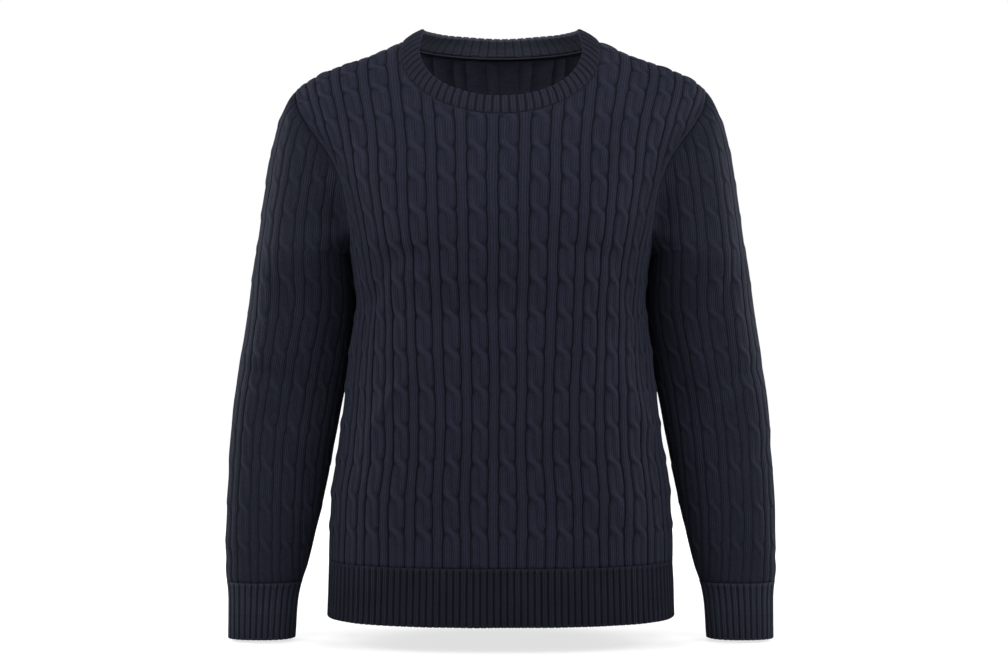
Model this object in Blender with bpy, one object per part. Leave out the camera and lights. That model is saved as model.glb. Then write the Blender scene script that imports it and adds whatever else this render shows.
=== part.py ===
"""A crew-neck sweater in cable knit, hollow and filled out as if it were worn.

Units are metres and +Z is up. +X is the wearer's left and -Y is the front. The origin lies
midway between the neck points of the two shoulder seams, where a wearer's shoulders carry it.
Every piece is a wall of cloth: its outer surface comes from level sections of the garment, and
its inner surface lies one thickness further in.
"""

import bmesh
import bpy
import numpy as np

# ------------------------------------------------------------------ driving sizes
WALL = 0.003             # cabled cloth, and the ribbed hem and cuffs
NECKBAND_WALL = 0.0042   # rib folded double
SEAM_GAP = 0.0003

HEM_TOP, HEM_BOTTOM = -0.538, -0.595
CUFF_TOP, CUFF_BOTTOM = -0.562, -0.621
UNDERARM = -0.222        # lowest point of the armhole
SCOOP_TOP = -0.190       # where the armhole seam starts to curve under the arm
SHOULDER_POINT = -0.0505
BODY_POWER = 2.5         # of the level sections: 2 is an ellipse, more is squarer
ARM_POWER = 2.2
SHOULDER_ROUND = 0.130   # height over which the chest rolls over to the shoulder seam

NECK_HALF_WIDTH = 0.1025
NECK_LEVEL = -0.015      # below this height the front neckline is a half ellipse
NECK_FRONT_DROP = 0.070
NECK_BACK_HEIGHT = -0.0066
NECKBAND_WIDTHS = (0.0215, 0.0260, 0.0205)     # front, sides, back
NECKBAND_LEANS = (64.0, 32.0, 62.0)            # degrees above level: front, sides, back
NECKBAND_BULGE = 0.0012

# Half sections of the body.
TORSO_COLUMNS = ("height", "half_width", "front", "back")
TORSO = (
    (HEM_BOTTOM, 0.1810, 0.105, 0.096),
    (HEM_TOP, 0.1790, 0.104, 0.094),
    (-0.478, 0.1770, 0.104, 0.091),
    (-0.416, 0.1685, 0.105, 0.089),
    (-0.357, 0.1615, 0.106, 0.089),
    (-0.314, 0.1565, 0.108, 0.092),
    (-0.266, 0.1510, 0.113, 0.098),
    (-0.240, 0.1535, 0.117, 0.102),
    (-0.222, 0.1565, 0.120, 0.104),
    (-0.187, 0.1630, 0.122, 0.108),
    (-0.160, 0.1700, 0.119, 0.109),
    (-0.129, 0.1827, 0.111, 0.107),
    (-0.109, 0.1982, 0.103, 0.104),
    (-0.091, 0.2160, 0.096, 0.101),
    (-0.067, 0.2320, 0.086, 0.099),
    (-0.050, 0.2365, 0.080, 0.098),
    (-0.030, 0.2375, 0.075, 0.097),
    (0.020, 0.2380, 0.068, 0.096),
)

# The top line of the shoulders, from the middle of the neck hole out to the shoulder point.
SHOULDER_COLUMNS = ("across", "height")
SHOULDER = (
    (0.0000, 0.0200),
    (0.0600, 0.0140),
    (0.1025, 0.0005),
    (0.1300, -0.0118),
    (0.1790, -0.0295),
    (0.2000, -0.0400),
    (0.2140, SHOULDER_POINT),
)

# The armhole seam above the curve under the arm.
ARMHOLE_COLUMNS = ("height", "half_width")
ARMHOLE = (
    (SCOOP_TOP, 0.1555),
    (-0.1600, 0.1605),
    (-0.1290, 0.1720),
    (-0.1090, 0.1850),
    (-0.0910, 0.1985),
    (-0.0670, 0.2110),
    (SHOULDER_POINT, 0.2140),
)

# Half sections of the arm: its middle, its outermost line, its half depth, and how far its
# middle hangs behind the side seam.
ARM_COLUMNS = ("height", "middle", "outer", "half_depth", "behind")
ARM = (
    (CUFF_BOTTOM, 0.2488, 0.2837, 0.0216, -0.010),
    (-0.583, 0.2474, 0.2839, 0.0230, -0.008),
    (CUFF_TOP, 0.2462, 0.2856, 0.0245, -0.006),
    (-0.541, 0.2438, 0.2875, 0.0255, -0.004),
    (-0.500, 0.2391, 0.2876, 0.0275, 0.001),
    (-0.457, 0.2337, 0.2858, 0.0300, 0.007),
    (-0.416, 0.2293, 0.2845, 0.0330, 0.012),
    (-0.374, 0.2237, 0.2808, 0.0360, 0.016),
    (-0.357, 0.2208, 0.2784, 0.0380, 0.017),
    (-0.314, 0.2145, 0.2716, 0.0445, 0.016),
    (-0.266, 0.2077, 0.2632, 0.0510, 0.010),
    (-0.240, 0.2068, 0.2589, 0.0550, 0.004),
    (UNDERARM, 0.2061, 0.2557, 0.0565, 0.000),
    (-0.187, 0.2030, 0.2508, 0.0560, 0.000),
    (-0.160, 0.2025, 0.2465, 0.0540, 0.000),
    (-0.123, 0.2035, 0.2409, 0.0490, 0.000),
    (-0.092, 0.2070, 0.2336, 0.0415, 0.000),
    (-0.071, 0.2135, 0.2257, 0.0275, 0.000),
    (-0.060, 0.2150, 0.2205, 0.0170, 0.000),
    (SHOULDER_POINT, 0.2140, 0.2140, 0.0000, 0.000),
)

# How the sleeve leaves the armhole seam: how far it runs on before it turns, and the direction
# in degrees, where -90 is away from the seam of the underarm, 0 is outwards and 90 is into the fold.
CAP_COLUMNS = ("height", "lead", "turn")
CAP = (
    (UNDERARM, 0.031, -90.0),
    (-0.2150, 0.016, -50.0),
    (-0.2050, 0.010, -10.0),
    (SCOOP_TOP, 0.013, 65.0),
    (-0.1600, 0.010, 40.0),
    (-0.1290, 0.008, 5.0),
    (-0.0910, 0.005, -10.0),
    (SHOULDER_POINT, 0.000, -20.0),
)
ARM_LEAD = 0.55          # the same run-on below the underarm, as a share of the half depth
ARM_FULLNESS = 0.6

# ------------------------------------------------------------------ facets
HALF_COLUMNS = 12        # of a panel, from its middle to its side
NECK_STEPS = 8           # of those, the ones that end at the neckline
SIDE_STEPS, ARMHOLE_STEPS = 9, 10
CAP_STEPS, ARM_STEPS, BAND_STEPS = 6, 11, 3
SIDE_EASE = 3            # how quickly a panel's columns stop following its side
CAP_END = -0.262         # the height where the sleeve's rows have become level
SAMPLES = 161
FOLD_LIMIT = 0.3         # walls whose normals agree less than this are not mitred

MATERIALS = {            # base colour and roughness
    "knit_cable": ((0.0176, 0.0194, 0.0330), 0.88),
    "knit_rib": ((0.0160, 0.0180, 0.0300), 0.90),
}


# ------------------------------------------------------------------ reading the tables
def read(table, columns, name, at):
    """The named column at any place along the first one, on a smooth curve with no overshoot."""
    rows = np.array(table)
    x, y = rows[:, 0], rows[:, columns.index(name)]
    step = np.diff(x)
    slope = np.diff(y) / step
    same = slope[:-1] * slope[1:] > 0
    before, after = np.where(same, slope[:-1], 1.0), np.where(same, slope[1:], 1.0)
    weight, other = 2 * step[1:] + step[:-1], step[1:] + 2 * step[:-1]
    bend = np.where(same, (weight + other) / (weight / before + other / after), 0.0)
    tangent = np.concatenate([[slope[0]], bend, [slope[-1]]])
    at = np.clip(np.asarray(at, float), x[0], x[-1])
    i = np.clip(np.searchsorted(x, at) - 1, 0, len(x) - 2)
    t = (at - x[i]) / step[i]
    return (y[i] * (1 + 2 * t) * (1 - t) ** 2 + tangent[i] * step[i] * t * (1 - t) ** 2
            + y[i + 1] * t * t * (3 - 2 * t) - tangent[i + 1] * step[i] * t * t * (1 - t))


def torso(name, height):
    return read(TORSO, TORSO_COLUMNS, name, height)


def arm(name, height):
    return read(ARM, ARM_COLUMNS, name, height)


def shoulder_height(across):
    return read(SHOULDER, SHOULDER_COLUMNS, "height", np.abs(across))


def lengths(points):
    """The distance along a line of points, from its start to each of them."""
    steps = np.linalg.norm(np.diff(points, axis=0), axis=1)
    return np.concatenate([[0.0], np.cumsum(steps)])


# ------------------------------------------------------------------ the body's surface
def half_section(side, height):
    """Half of a level section as its across values and its share of the way to the side."""
    angle = np.linspace(0, np.pi / 2, SAMPLES)
    across = torso("half_width", height) * np.sin(angle) ** (2 / BODY_POWER)
    depth = torso(side, height) * np.cos(angle) ** (2 / BODY_POWER)
    along = lengths(np.column_stack([across, depth]))
    return across, along / along[-1]


def body_point(side, across, height):
    """The point of the body's surface with this across value and height."""
    share = np.clip(1 - (abs(across) / torso("half_width", height)) ** BODY_POWER, 0, 1)
    over = np.clip(1 - (shoulder_height(across) - height) / SHOULDER_ROUND, 0, 1)
    depth = torso(side, height) * share ** (1 / BODY_POWER) * np.sqrt(1 - over ** 2)
    return np.array([across, -depth if side == "front" else depth, height])


def panel_place(side, point):
    """Where a point lies on a panel: its share of the way to the side, and its climb."""
    across, height = abs(point[0]), point[2]
    line, share = half_section(side, height)
    bend = shoulder_height(across) - SHOULDER_ROUND
    climb = height
    if height > bend:
        climb = bend + SHOULDER_ROUND * np.arcsin(min((height - bend) / SHOULDER_ROUND, 1.0))
    return np.array([np.interp(across, line, share), climb])


def panel_point(side, place):
    """The inverse of panel_place, found by repeating it until it settles."""
    share, climb = place
    height = min(climb, 0.0)
    for _ in range(20):
        line, shares = half_section(side, height)
        across = float(np.interp(share, shares, line))
        bend = float(shoulder_height(across)) - SHOULDER_ROUND
        height = climb
        if climb > bend:
            turn = min((climb - bend) / SHOULDER_ROUND, np.pi / 2)
            height = bend + SHOULDER_ROUND * np.sin(turn)
    return body_point(side, across, height)


# ------------------------------------------------------------------ seam lines
def armhole_across(side, height):
    """The armhole seam: straight rows of the table, then a quarter ellipse under the arm."""
    if height >= SCOOP_TOP:
        return float(read(ARMHOLE, ARMHOLE_COLUMNS, "half_width", height))
    line, share = half_section(side, SCOOP_TOP)
    start = np.interp(ARMHOLE[0][1], line, share)
    down = min((SCOOP_TOP - height) / (SCOOP_TOP - UNDERARM), 1.0)
    line, share = half_section(side, height)
    return float(np.interp(1 - (1 - start) * np.sqrt(1 - down ** 2), share, line))


def armhole_point(side, height):
    return body_point(side, armhole_across(side, height), height)


def armhole_heights():
    """Heights from the underarm to the shoulder point, evenly spaced along the front seam."""
    sweep = np.linspace(0, np.pi / 2, SAMPLES)
    curve = SCOOP_TOP - (SCOOP_TOP - UNDERARM) * np.cos(sweep)
    heights = np.concatenate([curve, np.linspace(SCOOP_TOP, SHOULDER_POINT, SAMPLES)[1:]])
    along = lengths(np.array([armhole_point("front", z) for z in heights]))
    return np.interp(np.linspace(0, along[-1], ARMHOLE_STEPS + 1), along, heights)


def neckline_point(side, across):
    """The point of the neckline at an across value between the middle and the neck point."""
    out = across / NECK_HALF_WIDTH
    top = float(shoulder_height(NECK_HALF_WIDTH))
    if side == "back":
        return body_point(side, across, NECK_BACK_HEIGHT + (top - NECK_BACK_HEIGHT) * out ** 2)
    return body_point(side, across, NECK_LEVEL - NECK_FRONT_DROP * np.sqrt(1 - min(out, 1.0) ** 2))


def neckline(side):
    """Points from the middle of a neckline to the neck point, evenly spaced."""
    across = NECK_HALF_WIDTH * np.sin(np.linspace(0, np.pi / 2, SAMPLES))
    line = [neckline_point(side, x) for x in across]
    top = float(shoulder_height(NECK_HALF_WIDTH))
    line += [body_point(side, NECK_HALF_WIDTH, z) for z in np.linspace(line[-1][2], top, 20)[1:]]
    line = np.array(line)
    along = lengths(line)
    marks = np.linspace(0, along[-1], NECK_STEPS + 1)
    return np.column_stack([np.interp(marks, along, line[:, axis]) for axis in range(3)])


def shoulder_seam():
    across = np.linspace(NECK_HALF_WIDTH, ARMHOLE[-1][1], HALF_COLUMNS - NECK_STEPS + 1)
    return np.array([[x, 0.0, float(shoulder_height(x))] for x in across])


# ------------------------------------------------------------------ the sleeve's surface
def arm_section(side, height):
    """Half of a level section, from the outermost line to the armhole seam or the inner line."""
    way = -1.0 if side == "front" else 1.0
    middle, outer = float(arm("middle", height)), float(arm("outer", height))
    deep, centre = float(arm("half_depth", height)), float(arm("behind", height))
    angle = np.linspace(0, np.pi / 2, 41)
    outside = np.column_stack([middle + (outer - middle) * np.cos(angle) ** (2 / ARM_POWER),
                               centre + way * deep * np.sin(angle) ** (2 / ARM_POWER)])
    if height > UNDERARM:
        end = armhole_point(side, height)[:2]
        lead = float(read(CAP, CAP_COLUMNS, "lead", height))
        turn = np.radians(read(CAP, CAP_COLUMNS, "turn", height))
    else:
        end, lead, turn = np.array([2 * middle - outer, centre]), ARM_LEAD * deep, -np.pi / 2
    start = np.array([middle, centre + way * deep])
    full = np.array([middle - ARM_FULLNESS * (middle - end[0]), start[1]])
    leave = end + lead * np.array([np.cos(turn), -way * np.sin(turn)])
    t = np.linspace(0, 1, 41)[1:, None]
    inside = ((1 - t) ** 3 * start + 3 * t * (1 - t) ** 2 * full
              + 3 * t * t * (1 - t) * leave + t ** 3 * end)
    return np.vstack([outside, inside])


def arm_point(side, distance, height):
    """The point that lies a distance round the sleeve from its outermost line."""
    line = arm_section(side, height)
    along = lengths(line)
    return np.array([np.interp(distance, along, line[:, 0]),
                     np.interp(distance, along, line[:, 1]), height])


def arm_reach(side, height):
    """The distance from the outermost line to the armhole seam or the inner line."""
    return float(lengths(arm_section(side, height))[-1])


# ------------------------------------------------------------------ outer surfaces as grids
def mirrored(grid):
    """A half panel, which starts at the middle, as a whole one."""
    return np.concatenate([grid[:, :0:-1] * (-1, 1, 1), grid], axis=1)


def panel_grid(side):
    """A front or back panel, blended between the lines of its four sides."""
    bottom = [panel_point(side, (u, HEM_TOP)) for u in np.linspace(0, 1, HALF_COLUMNS + 1)]
    top = list(neckline(side)) + list(shoulder_seam()[1:])
    right = [np.array([float(torso("half_width", z)), 0.0, z])
             for z in np.linspace(HEM_TOP, UNDERARM, SIDE_STEPS + 1)]
    right += [armhole_point(side, z) for z in armhole_heights()[1:]]
    right[-1] = top[-1]
    rows = len(right) - 1
    edges = [[panel_place(side, p) for p in line] for line in (bottom, top, right)]
    bottom_places, top_places, right_places = edges
    grid = np.zeros((rows + 1, HALF_COLUMNS + 1, 3))
    for j in range(rows + 1):
        v = j / rows
        pull = right_places[j] - (1 - v) * bottom_places[-1] - v * top_places[-1]
        for i in range(HALF_COLUMNS + 1):
            place = (1 - v) * bottom_places[i] + v * top_places[i]
            grid[j, i] = panel_point(side, place + pull * (i / HALF_COLUMNS) ** SIDE_EASE)
    grid[0], grid[-1], grid[:, -1] = bottom, top, right
    return mirrored(grid)


def hem_grid(side):
    """A half of the hem rib, whose top row is the bottom row of its panel."""
    levels = np.linspace(HEM_TOP, HEM_BOTTOM, BAND_STEPS + 1)
    shares = np.linspace(0, 1, HALF_COLUMNS + 1)
    grid = np.array([[panel_point(side, (u, z)) for u in shares] for z in levels])
    grid[:, -1, 1] = 0.0
    return mirrored(grid)


def neckband_grid():
    """The ring of the neckband, from its seam up to its inner edge."""
    front, back = neckline("front"), neckline("back")
    quarter = [(p, k / NECK_STEPS, 0) for k, p in enumerate(front)]
    quarter += [(p, k / NECK_STEPS, 2) for k, p in enumerate(back[:-1])][::-1]
    half = []
    for point, out, middle in quarter:
        ease = np.sin(out * np.pi / 2) ** 2
        width = NECKBAND_WIDTHS[middle] * (1 - ease) + NECKBAND_WIDTHS[1] * ease
        lean = np.radians(NECKBAND_LEANS[middle] * (1 - ease) + NECKBAND_LEANS[1] * ease)
        inward = np.array([-point[0] / NECK_HALF_WIDTH ** 2, -point[1] / abs(front[0][1]) ** 2, 0])
        inward /= np.linalg.norm(inward)
        up = np.array([0.0, 0.0, 1.0])
        along = inward * np.cos(lean) + up * np.sin(lean)
        away = up * np.cos(lean) - inward * np.sin(lean)
        steps = np.linspace(0, 1, BAND_STEPS + 1)
        half.append([point + along * width * t + away * NECKBAND_BULGE * np.sin(t * np.pi)
                     for t in steps])
    half = np.array(half).transpose(1, 0, 2)
    return np.concatenate([half, half[:, -2:0:-1] * (-1, 1, 1)], axis=1)


def ring(height, shares):
    """A level ring of the sleeve, with shares from -1 at the underarm in front to 1 behind."""
    points = []
    for share in shares:
        side = "front" if share < 0 else "back"
        points.append(arm_point(side, abs(share) * arm_reach(side, height), height))
    return points


def sleeve_grids():
    """The left sleeve from the armhole down, and its cuff."""
    heights = armhole_heights()
    seam = [("front", z) for z in heights] + [("back", z) for z in heights[-2:0:-1]]
    start = [arm_reach(side, z) for side, z in seam]
    share = [d / arm_reach(side, UNDERARM) for d, (side, z) in zip(start, seam)]
    rows = [[armhole_point(side, z) for side, z in seam]]
    rows[0][ARMHOLE_STEPS] = shoulder_seam()[-1]
    rows[0][0] = np.array([float(torso("half_width", UNDERARM)), 0.0, UNDERARM])
    for j in range(1, CAP_STEPS + 1):
        t = j / CAP_STEPS
        row = []
        for (side, z), distance, part in zip(seam, start, share):
            height = z + (CAP_END - z) * t
            reach = (1 - t) * distance + t * part * arm_reach(side, CAP_END)
            row.append(arm_point(side, min(reach, arm_reach(side, height)), height))
        rows.append(row)
    signed = [-p if side == "front" else p for p, (side, z) in zip(share, seam)]
    rows += [ring(z, signed) for z in np.linspace(CAP_END, CUFF_TOP, ARM_STEPS + 1)[1:]]
    cuff = [ring(z, signed) for z in np.linspace(CUFF_TOP, CUFF_BOTTOM, BAND_STEPS + 1)]
    return np.array(rows), np.array(cuff)


# ------------------------------------------------------------------ walls of cloth
class Cloth:
    """One piece: the grid of its outer surface, its thickness and what it is knitted in."""

    def __init__(self, name, grid, closed, wall, material):
        self.name, self.wall, self.material = name, wall, material
        self.count = grid.shape[0] * grid.shape[1]
        self.points = grid.reshape(-1, 3)
        self.quads = self.make_quads(grid.shape[0], grid.shape[1], closed)
        self.measure()

    def make_quads(self, rows, columns, closed):
        quads = []
        for j in range(rows - 1):
            for i in range(columns if closed else columns - 1):
                k = (i + 1) % columns
                quads.append((j * columns + i, j * columns + k,
                              (j + 1) * columns + k, (j + 1) * columns + i))
        return quads

    def measure(self):
        """Outward normals, and at each point the way into the piece."""
        self.normals, self.into = np.zeros((self.count, 3)), np.zeros((self.count, 3))
        for quad in self.quads:
            a, b, c, d = self.points[list(quad)]
            normal = np.cross(c - a, d - b)
            for corner in quad:
                self.normals[corner] += normal
                self.into[corner] += (a + b + c + d) / 4 - self.points[corner]
        self.normals /= np.linalg.norm(self.normals, axis=1)[:, None]
        self.into -= np.sum(self.into * self.normals, axis=1)[:, None] * self.normals
        self.into /= np.maximum(np.linalg.norm(self.into, axis=1)[:, None], SEAM_GAP)
        self.rim_edges = self.rim()

    def turned(self):
        """The same piece with its outer face on the other side."""
        self.quads = [quad[::-1] for quad in self.quads]
        self.measure()
        return self

    def rim(self):
        """The edges that belong to one quad only, each in the order of that quad."""
        edges = [(q[k], q[(k + 1) % 4]) for q in self.quads for k in range(4)]
        known = set(edges)
        return [(a, b) for a, b in edges if (b, a) not in known]

    def seam_way(self, index):
        """The direction in which the piece's edge passes through one of its points."""
        before = next(a for a, b in self.rim_edges if b == index)
        after = next(b for a, b in self.rim_edges if a == index)
        return unit(self.points[after] - self.points[before])


def unit(vector):
    return vector / np.linalg.norm(vector)


def seam_table(pieces):
    """All points on the edges of pieces, with the pieces that meet there."""
    table = {}
    for piece in pieces:
        for index in sorted({corner for edge in piece.rim_edges for corner in edge}):
            key = tuple(np.round(piece.points[index], 6) + 0.0)
            table.setdefault(key, []).append((piece, index))
    return table


def part_at_seams(pieces):
    """Moves pieces apart at their seams, and sets the direction each wall's edge is cut in."""
    moves = {piece.name: np.zeros((piece.count, 3)) for piece in pieces}
    cuts = {piece.name: piece.normals.copy() for piece in pieces}
    for meeting in seam_table(pieces).values():
        if len(meeting) < 2:
            continue
        for piece, index in meeting:
            normal, way, cut = piece.normals[index], np.zeros(3), piece.normals[index].copy()
            others = [(p, k) for p, k in meeting if p is not piece]
            for other, k in others:
                apart = piece.into[index] - other.into[k]
                if np.dot(piece.into[index], other.normals[k]) > 0:
                    apart = apart + other.normals[k] - normal
                if len(others) == 1:
                    seam = piece.seam_way(index)
                    apart = apart - np.dot(apart, seam) * seam
                way += unit(apart)
                if np.dot(normal, other.normals[k]) > FOLD_LIMIT:
                    cut += other.normals[k]
            moves[piece.name][index] = unit(way) * SEAM_GAP / 2 * np.sqrt(min(len(others), 2))
            cuts[piece.name][index] = unit(cut)
    return moves, cuts


def make_material(name):
    colour, roughness = MATERIALS[name]
    material = bpy.data.materials.new(name)
    material.use_nodes = True
    shader = material.node_tree.nodes["Principled BSDF"]
    shader.inputs["Base Color"].default_value = (*colour, 1.0)
    shader.inputs["Roughness"].default_value = roughness
    return material


def make_wall(piece, move, cut, collection):
    """The closed solid of a piece: outer face, inner face and the strip round every edge."""
    outer = piece.points + move
    inner = outer - cut * piece.wall
    n = piece.count
    faces = list(piece.quads)
    faces += [tuple(corner + n for corner in quad[::-1]) for quad in piece.quads]
    faces += [(b, a, a + n, b + n) for a, b in piece.rim_edges]
    mesh = bpy.data.meshes.new(piece.name)
    mesh.from_pydata([tuple(p) for p in np.vstack([outer, inner])], [], faces)
    shape = bmesh.new()
    shape.from_mesh(mesh)
    bmesh.ops.triangulate(shape, faces=shape.faces[:], quad_method="SHORT_EDGE")
    bmesh.ops.recalc_face_normals(shape, faces=shape.faces[:])
    shape.to_mesh(mesh)
    shape.free()
    mesh.materials.append(make_material(piece.material))
    piece_object = bpy.data.objects.new(piece.name, mesh)
    collection.objects.link(piece_object)


def build():
    for old in list(bpy.data.objects):
        bpy.data.objects.remove(old, do_unlink=True)
    collection = bpy.data.collections.new("cable_knit_sweater")
    bpy.context.scene.collection.children.link(collection)

    sleeve, cuff = sleeve_grids()
    flip = (-1, 1, 1)
    pieces = [
        Cloth("front", panel_grid("front"), False, WALL, "knit_cable"),
        Cloth("back", panel_grid("back"), False, WALL, "knit_cable").turned(),
        Cloth("hem_front", hem_grid("front"), False, WALL, "knit_rib").turned(),
        Cloth("hem_back", hem_grid("back"), False, WALL, "knit_rib"),
        Cloth("neckband", neckband_grid(), True, NECKBAND_WALL, "knit_rib"),
        Cloth("sleeve_left", sleeve, True, WALL, "knit_cable").turned(),
        Cloth("sleeve_right", sleeve * flip, True, WALL, "knit_cable"),
        Cloth("cuff_left", cuff, True, WALL, "knit_rib").turned(),
        Cloth("cuff_right", cuff * flip, True, WALL, "knit_rib"),
    ]
    moves, cuts = part_at_seams(pieces)
    for piece in pieces:
        make_wall(piece, moves[piece.name], cuts[piece.name], collection)


build()
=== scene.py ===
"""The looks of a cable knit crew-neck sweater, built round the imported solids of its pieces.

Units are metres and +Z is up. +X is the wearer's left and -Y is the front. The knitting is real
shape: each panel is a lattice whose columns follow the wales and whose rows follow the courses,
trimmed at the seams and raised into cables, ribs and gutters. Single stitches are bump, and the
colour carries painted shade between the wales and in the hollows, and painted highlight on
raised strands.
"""

import bpy
import numpy as np
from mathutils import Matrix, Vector, kdtree


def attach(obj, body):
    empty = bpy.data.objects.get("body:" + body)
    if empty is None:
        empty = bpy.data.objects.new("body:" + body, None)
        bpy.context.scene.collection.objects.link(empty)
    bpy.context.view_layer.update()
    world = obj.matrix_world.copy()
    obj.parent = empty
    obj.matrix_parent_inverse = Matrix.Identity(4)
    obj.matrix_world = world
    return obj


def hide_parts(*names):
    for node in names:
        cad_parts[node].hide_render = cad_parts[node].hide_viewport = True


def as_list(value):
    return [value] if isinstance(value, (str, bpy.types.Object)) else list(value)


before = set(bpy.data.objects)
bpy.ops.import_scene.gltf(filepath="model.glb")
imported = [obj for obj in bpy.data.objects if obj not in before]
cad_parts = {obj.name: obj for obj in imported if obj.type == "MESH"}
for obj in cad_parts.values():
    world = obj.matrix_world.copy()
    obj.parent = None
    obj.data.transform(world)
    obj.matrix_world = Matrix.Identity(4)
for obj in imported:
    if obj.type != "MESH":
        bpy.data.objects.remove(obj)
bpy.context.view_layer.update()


def table(names, *rows):
    """A way to read a named column anywhere along the first, smoothly and with no overshoot."""
    names, rows = names.split(), np.array(rows)
    x, step = rows[:, 0], np.diff(rows[:, 0])

    def read(name, at):
        y = rows[:, names.index(name)]
        slope = np.diff(y) / step
        same = slope[:-1] * slope[1:] > 0
        before, after = np.where(same, slope[:-1], 1.0), np.where(same, slope[1:], 1.0)
        weight, other = 2 * step[1:] + step[:-1], step[1:] + 2 * step[:-1]
        bend = np.where(same, (weight + other) / (weight / before + other / after), 0.0)
        tangent = np.concatenate([[slope[0]], bend, [slope[-1]]])
        at = np.clip(np.asarray(at, float), x[0], x[-1])
        i = np.clip(np.searchsorted(x, at) - 1, 0, len(x) - 2)
        t = (at - x[i]) / step[i]
        return (y[i] * (1 + 2 * t) * (1 - t) ** 2 + tangent[i] * step[i] * t * (1 - t) ** 2
                + y[i + 1] * t * t * (3 - 2 * t) - tangent[i + 1] * step[i] * t * t * (1 - t))
    return read


# ---------- sizes of the solids
WALL, NECKBAND_WALL = 0.003, 0.0042
SEAM_INSET = 0.00005
HEM_TOP, HEM_BOTTOM = -0.538, -0.595
HEM_EDGE = -0.597  # where the hem's ribs end
CUFF_TOP, CUFF_BOTTOM = -0.562, -0.621
UNDERARM, SCOOP_TOP = -0.222, -0.190
SHOULDER_POINT, SHOULDER_END = -0.0505, 0.2140  # its height, and how far across it lies
BODY_POWER, ARM_POWER = 2.5, 2.2  # of their rounded sections
SHOULDER_ROUND = 0.130

NECK_HALF_WIDTH = 0.1025
NECK_LEVEL, NECK_FRONT_DROP = -0.015, 0.070
NECK_BACK_HEIGHT = -0.0066
NECK_RADIUS = 0.085  # roughly, for distances to the front's neckline
NECKBAND_WIDTHS = (0.0215, 0.0260, 0.0205)  # front, sides, back
NECKBAND_LEANS = (64.0, 32.0, 62.0)  # degrees above level: front, sides, back
NECKBAND_BULGE = 0.0012

torso = table(
    "height half_width front back",
    (HEM_BOTTOM, 0.1810, 0.105, 0.096),
    (HEM_TOP, 0.1790, 0.104, 0.094),
    (-0.478, 0.1770, 0.104, 0.091),
    (-0.416, 0.1685, 0.105, 0.089),
    (-0.357, 0.1615, 0.106, 0.089),
    (-0.314, 0.1565, 0.108, 0.092),
    (-0.266, 0.1510, 0.113, 0.098),
    (-0.240, 0.1535, 0.117, 0.102),
    (-0.222, 0.1565, 0.120, 0.104),
    (-0.187, 0.1630, 0.122, 0.108),
    (-0.160, 0.1700, 0.119, 0.109),
    (-0.129, 0.1827, 0.111, 0.107),
    (-0.109, 0.1982, 0.103, 0.104),
    (-0.091, 0.2160, 0.096, 0.101),
    (-0.067, 0.2320, 0.086, 0.099),
    (-0.050, 0.2365, 0.080, 0.098),
    (-0.030, 0.2375, 0.075, 0.097),
    (0.020, 0.2380, 0.068, 0.096),
)
shoulder = table(
    "across height",
    (0.0, 0.0200), (0.0600, 0.0140), (0.1025, 0.0005), (0.1300, -0.0118), (0.1790, -0.0295),
    (0.2000, -0.0400), (SHOULDER_END, SHOULDER_POINT),
)
armhole = table(
    "height half_width",
    (SCOOP_TOP, 0.1555), (-0.160, 0.1605), (-0.129, 0.1720), (-0.109, 0.1850),
    (-0.091, 0.1985), (-0.067, 0.2110), (SHOULDER_POINT, SHOULDER_END),
)
arm = table(
    "height middle outer half_depth behind",
    (CUFF_BOTTOM, 0.2488, 0.2837, 0.0216, -0.010),
    (-0.583, 0.2474, 0.2839, 0.0230, -0.008),
    (CUFF_TOP, 0.2462, 0.2856, 0.0245, -0.006),
    (-0.541, 0.2438, 0.2875, 0.0255, -0.004),
    (-0.500, 0.2391, 0.2876, 0.0275, 0.001),
    (-0.457, 0.2337, 0.2858, 0.0300, 0.007),
    (-0.416, 0.2293, 0.2845, 0.0330, 0.012),
    (-0.374, 0.2237, 0.2808, 0.0360, 0.016),
    (-0.357, 0.2208, 0.2784, 0.0380, 0.017),
    (-0.314, 0.2145, 0.2716, 0.0445, 0.016),
    (-0.266, 0.2077, 0.2632, 0.0510, 0.010),
    (-0.240, 0.2068, 0.2589, 0.0550, 0.004),
    (UNDERARM, 0.2061, 0.2557, 0.0565, 0.0),
    (-0.187, 0.2030, 0.2508, 0.0560, 0.0),
    (-0.160, 0.2025, 0.2465, 0.0540, 0.0),
    (-0.123, 0.2035, 0.2409, 0.0490, 0.0),
    (-0.092, 0.2070, 0.2336, 0.0415, 0.0),
    (-0.071, 0.2135, 0.2257, 0.0275, 0.0),
    (-0.060, 0.2150, 0.2205, 0.0170, 0.0),
    (SHOULDER_POINT, SHOULDER_END, SHOULDER_END, 0.0, 0.0),
)
cap = table(  # how far and which way a section of the arm leads into its seam
    "height lead turn",
    (UNDERARM, 0.031, -90), (-0.215, 0.016, -50), (-0.205, 0.010, -10), (SCOOP_TOP, 0.013, 65),
    (-0.160, 0.010, 40), (-0.129, 0.008, 5), (-0.091, 0.005, -10), (SHOULDER_POINT, 0.0, -20),
)
ARM_LEAD, ARM_FULLNESS = 0.55, 0.6

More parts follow.
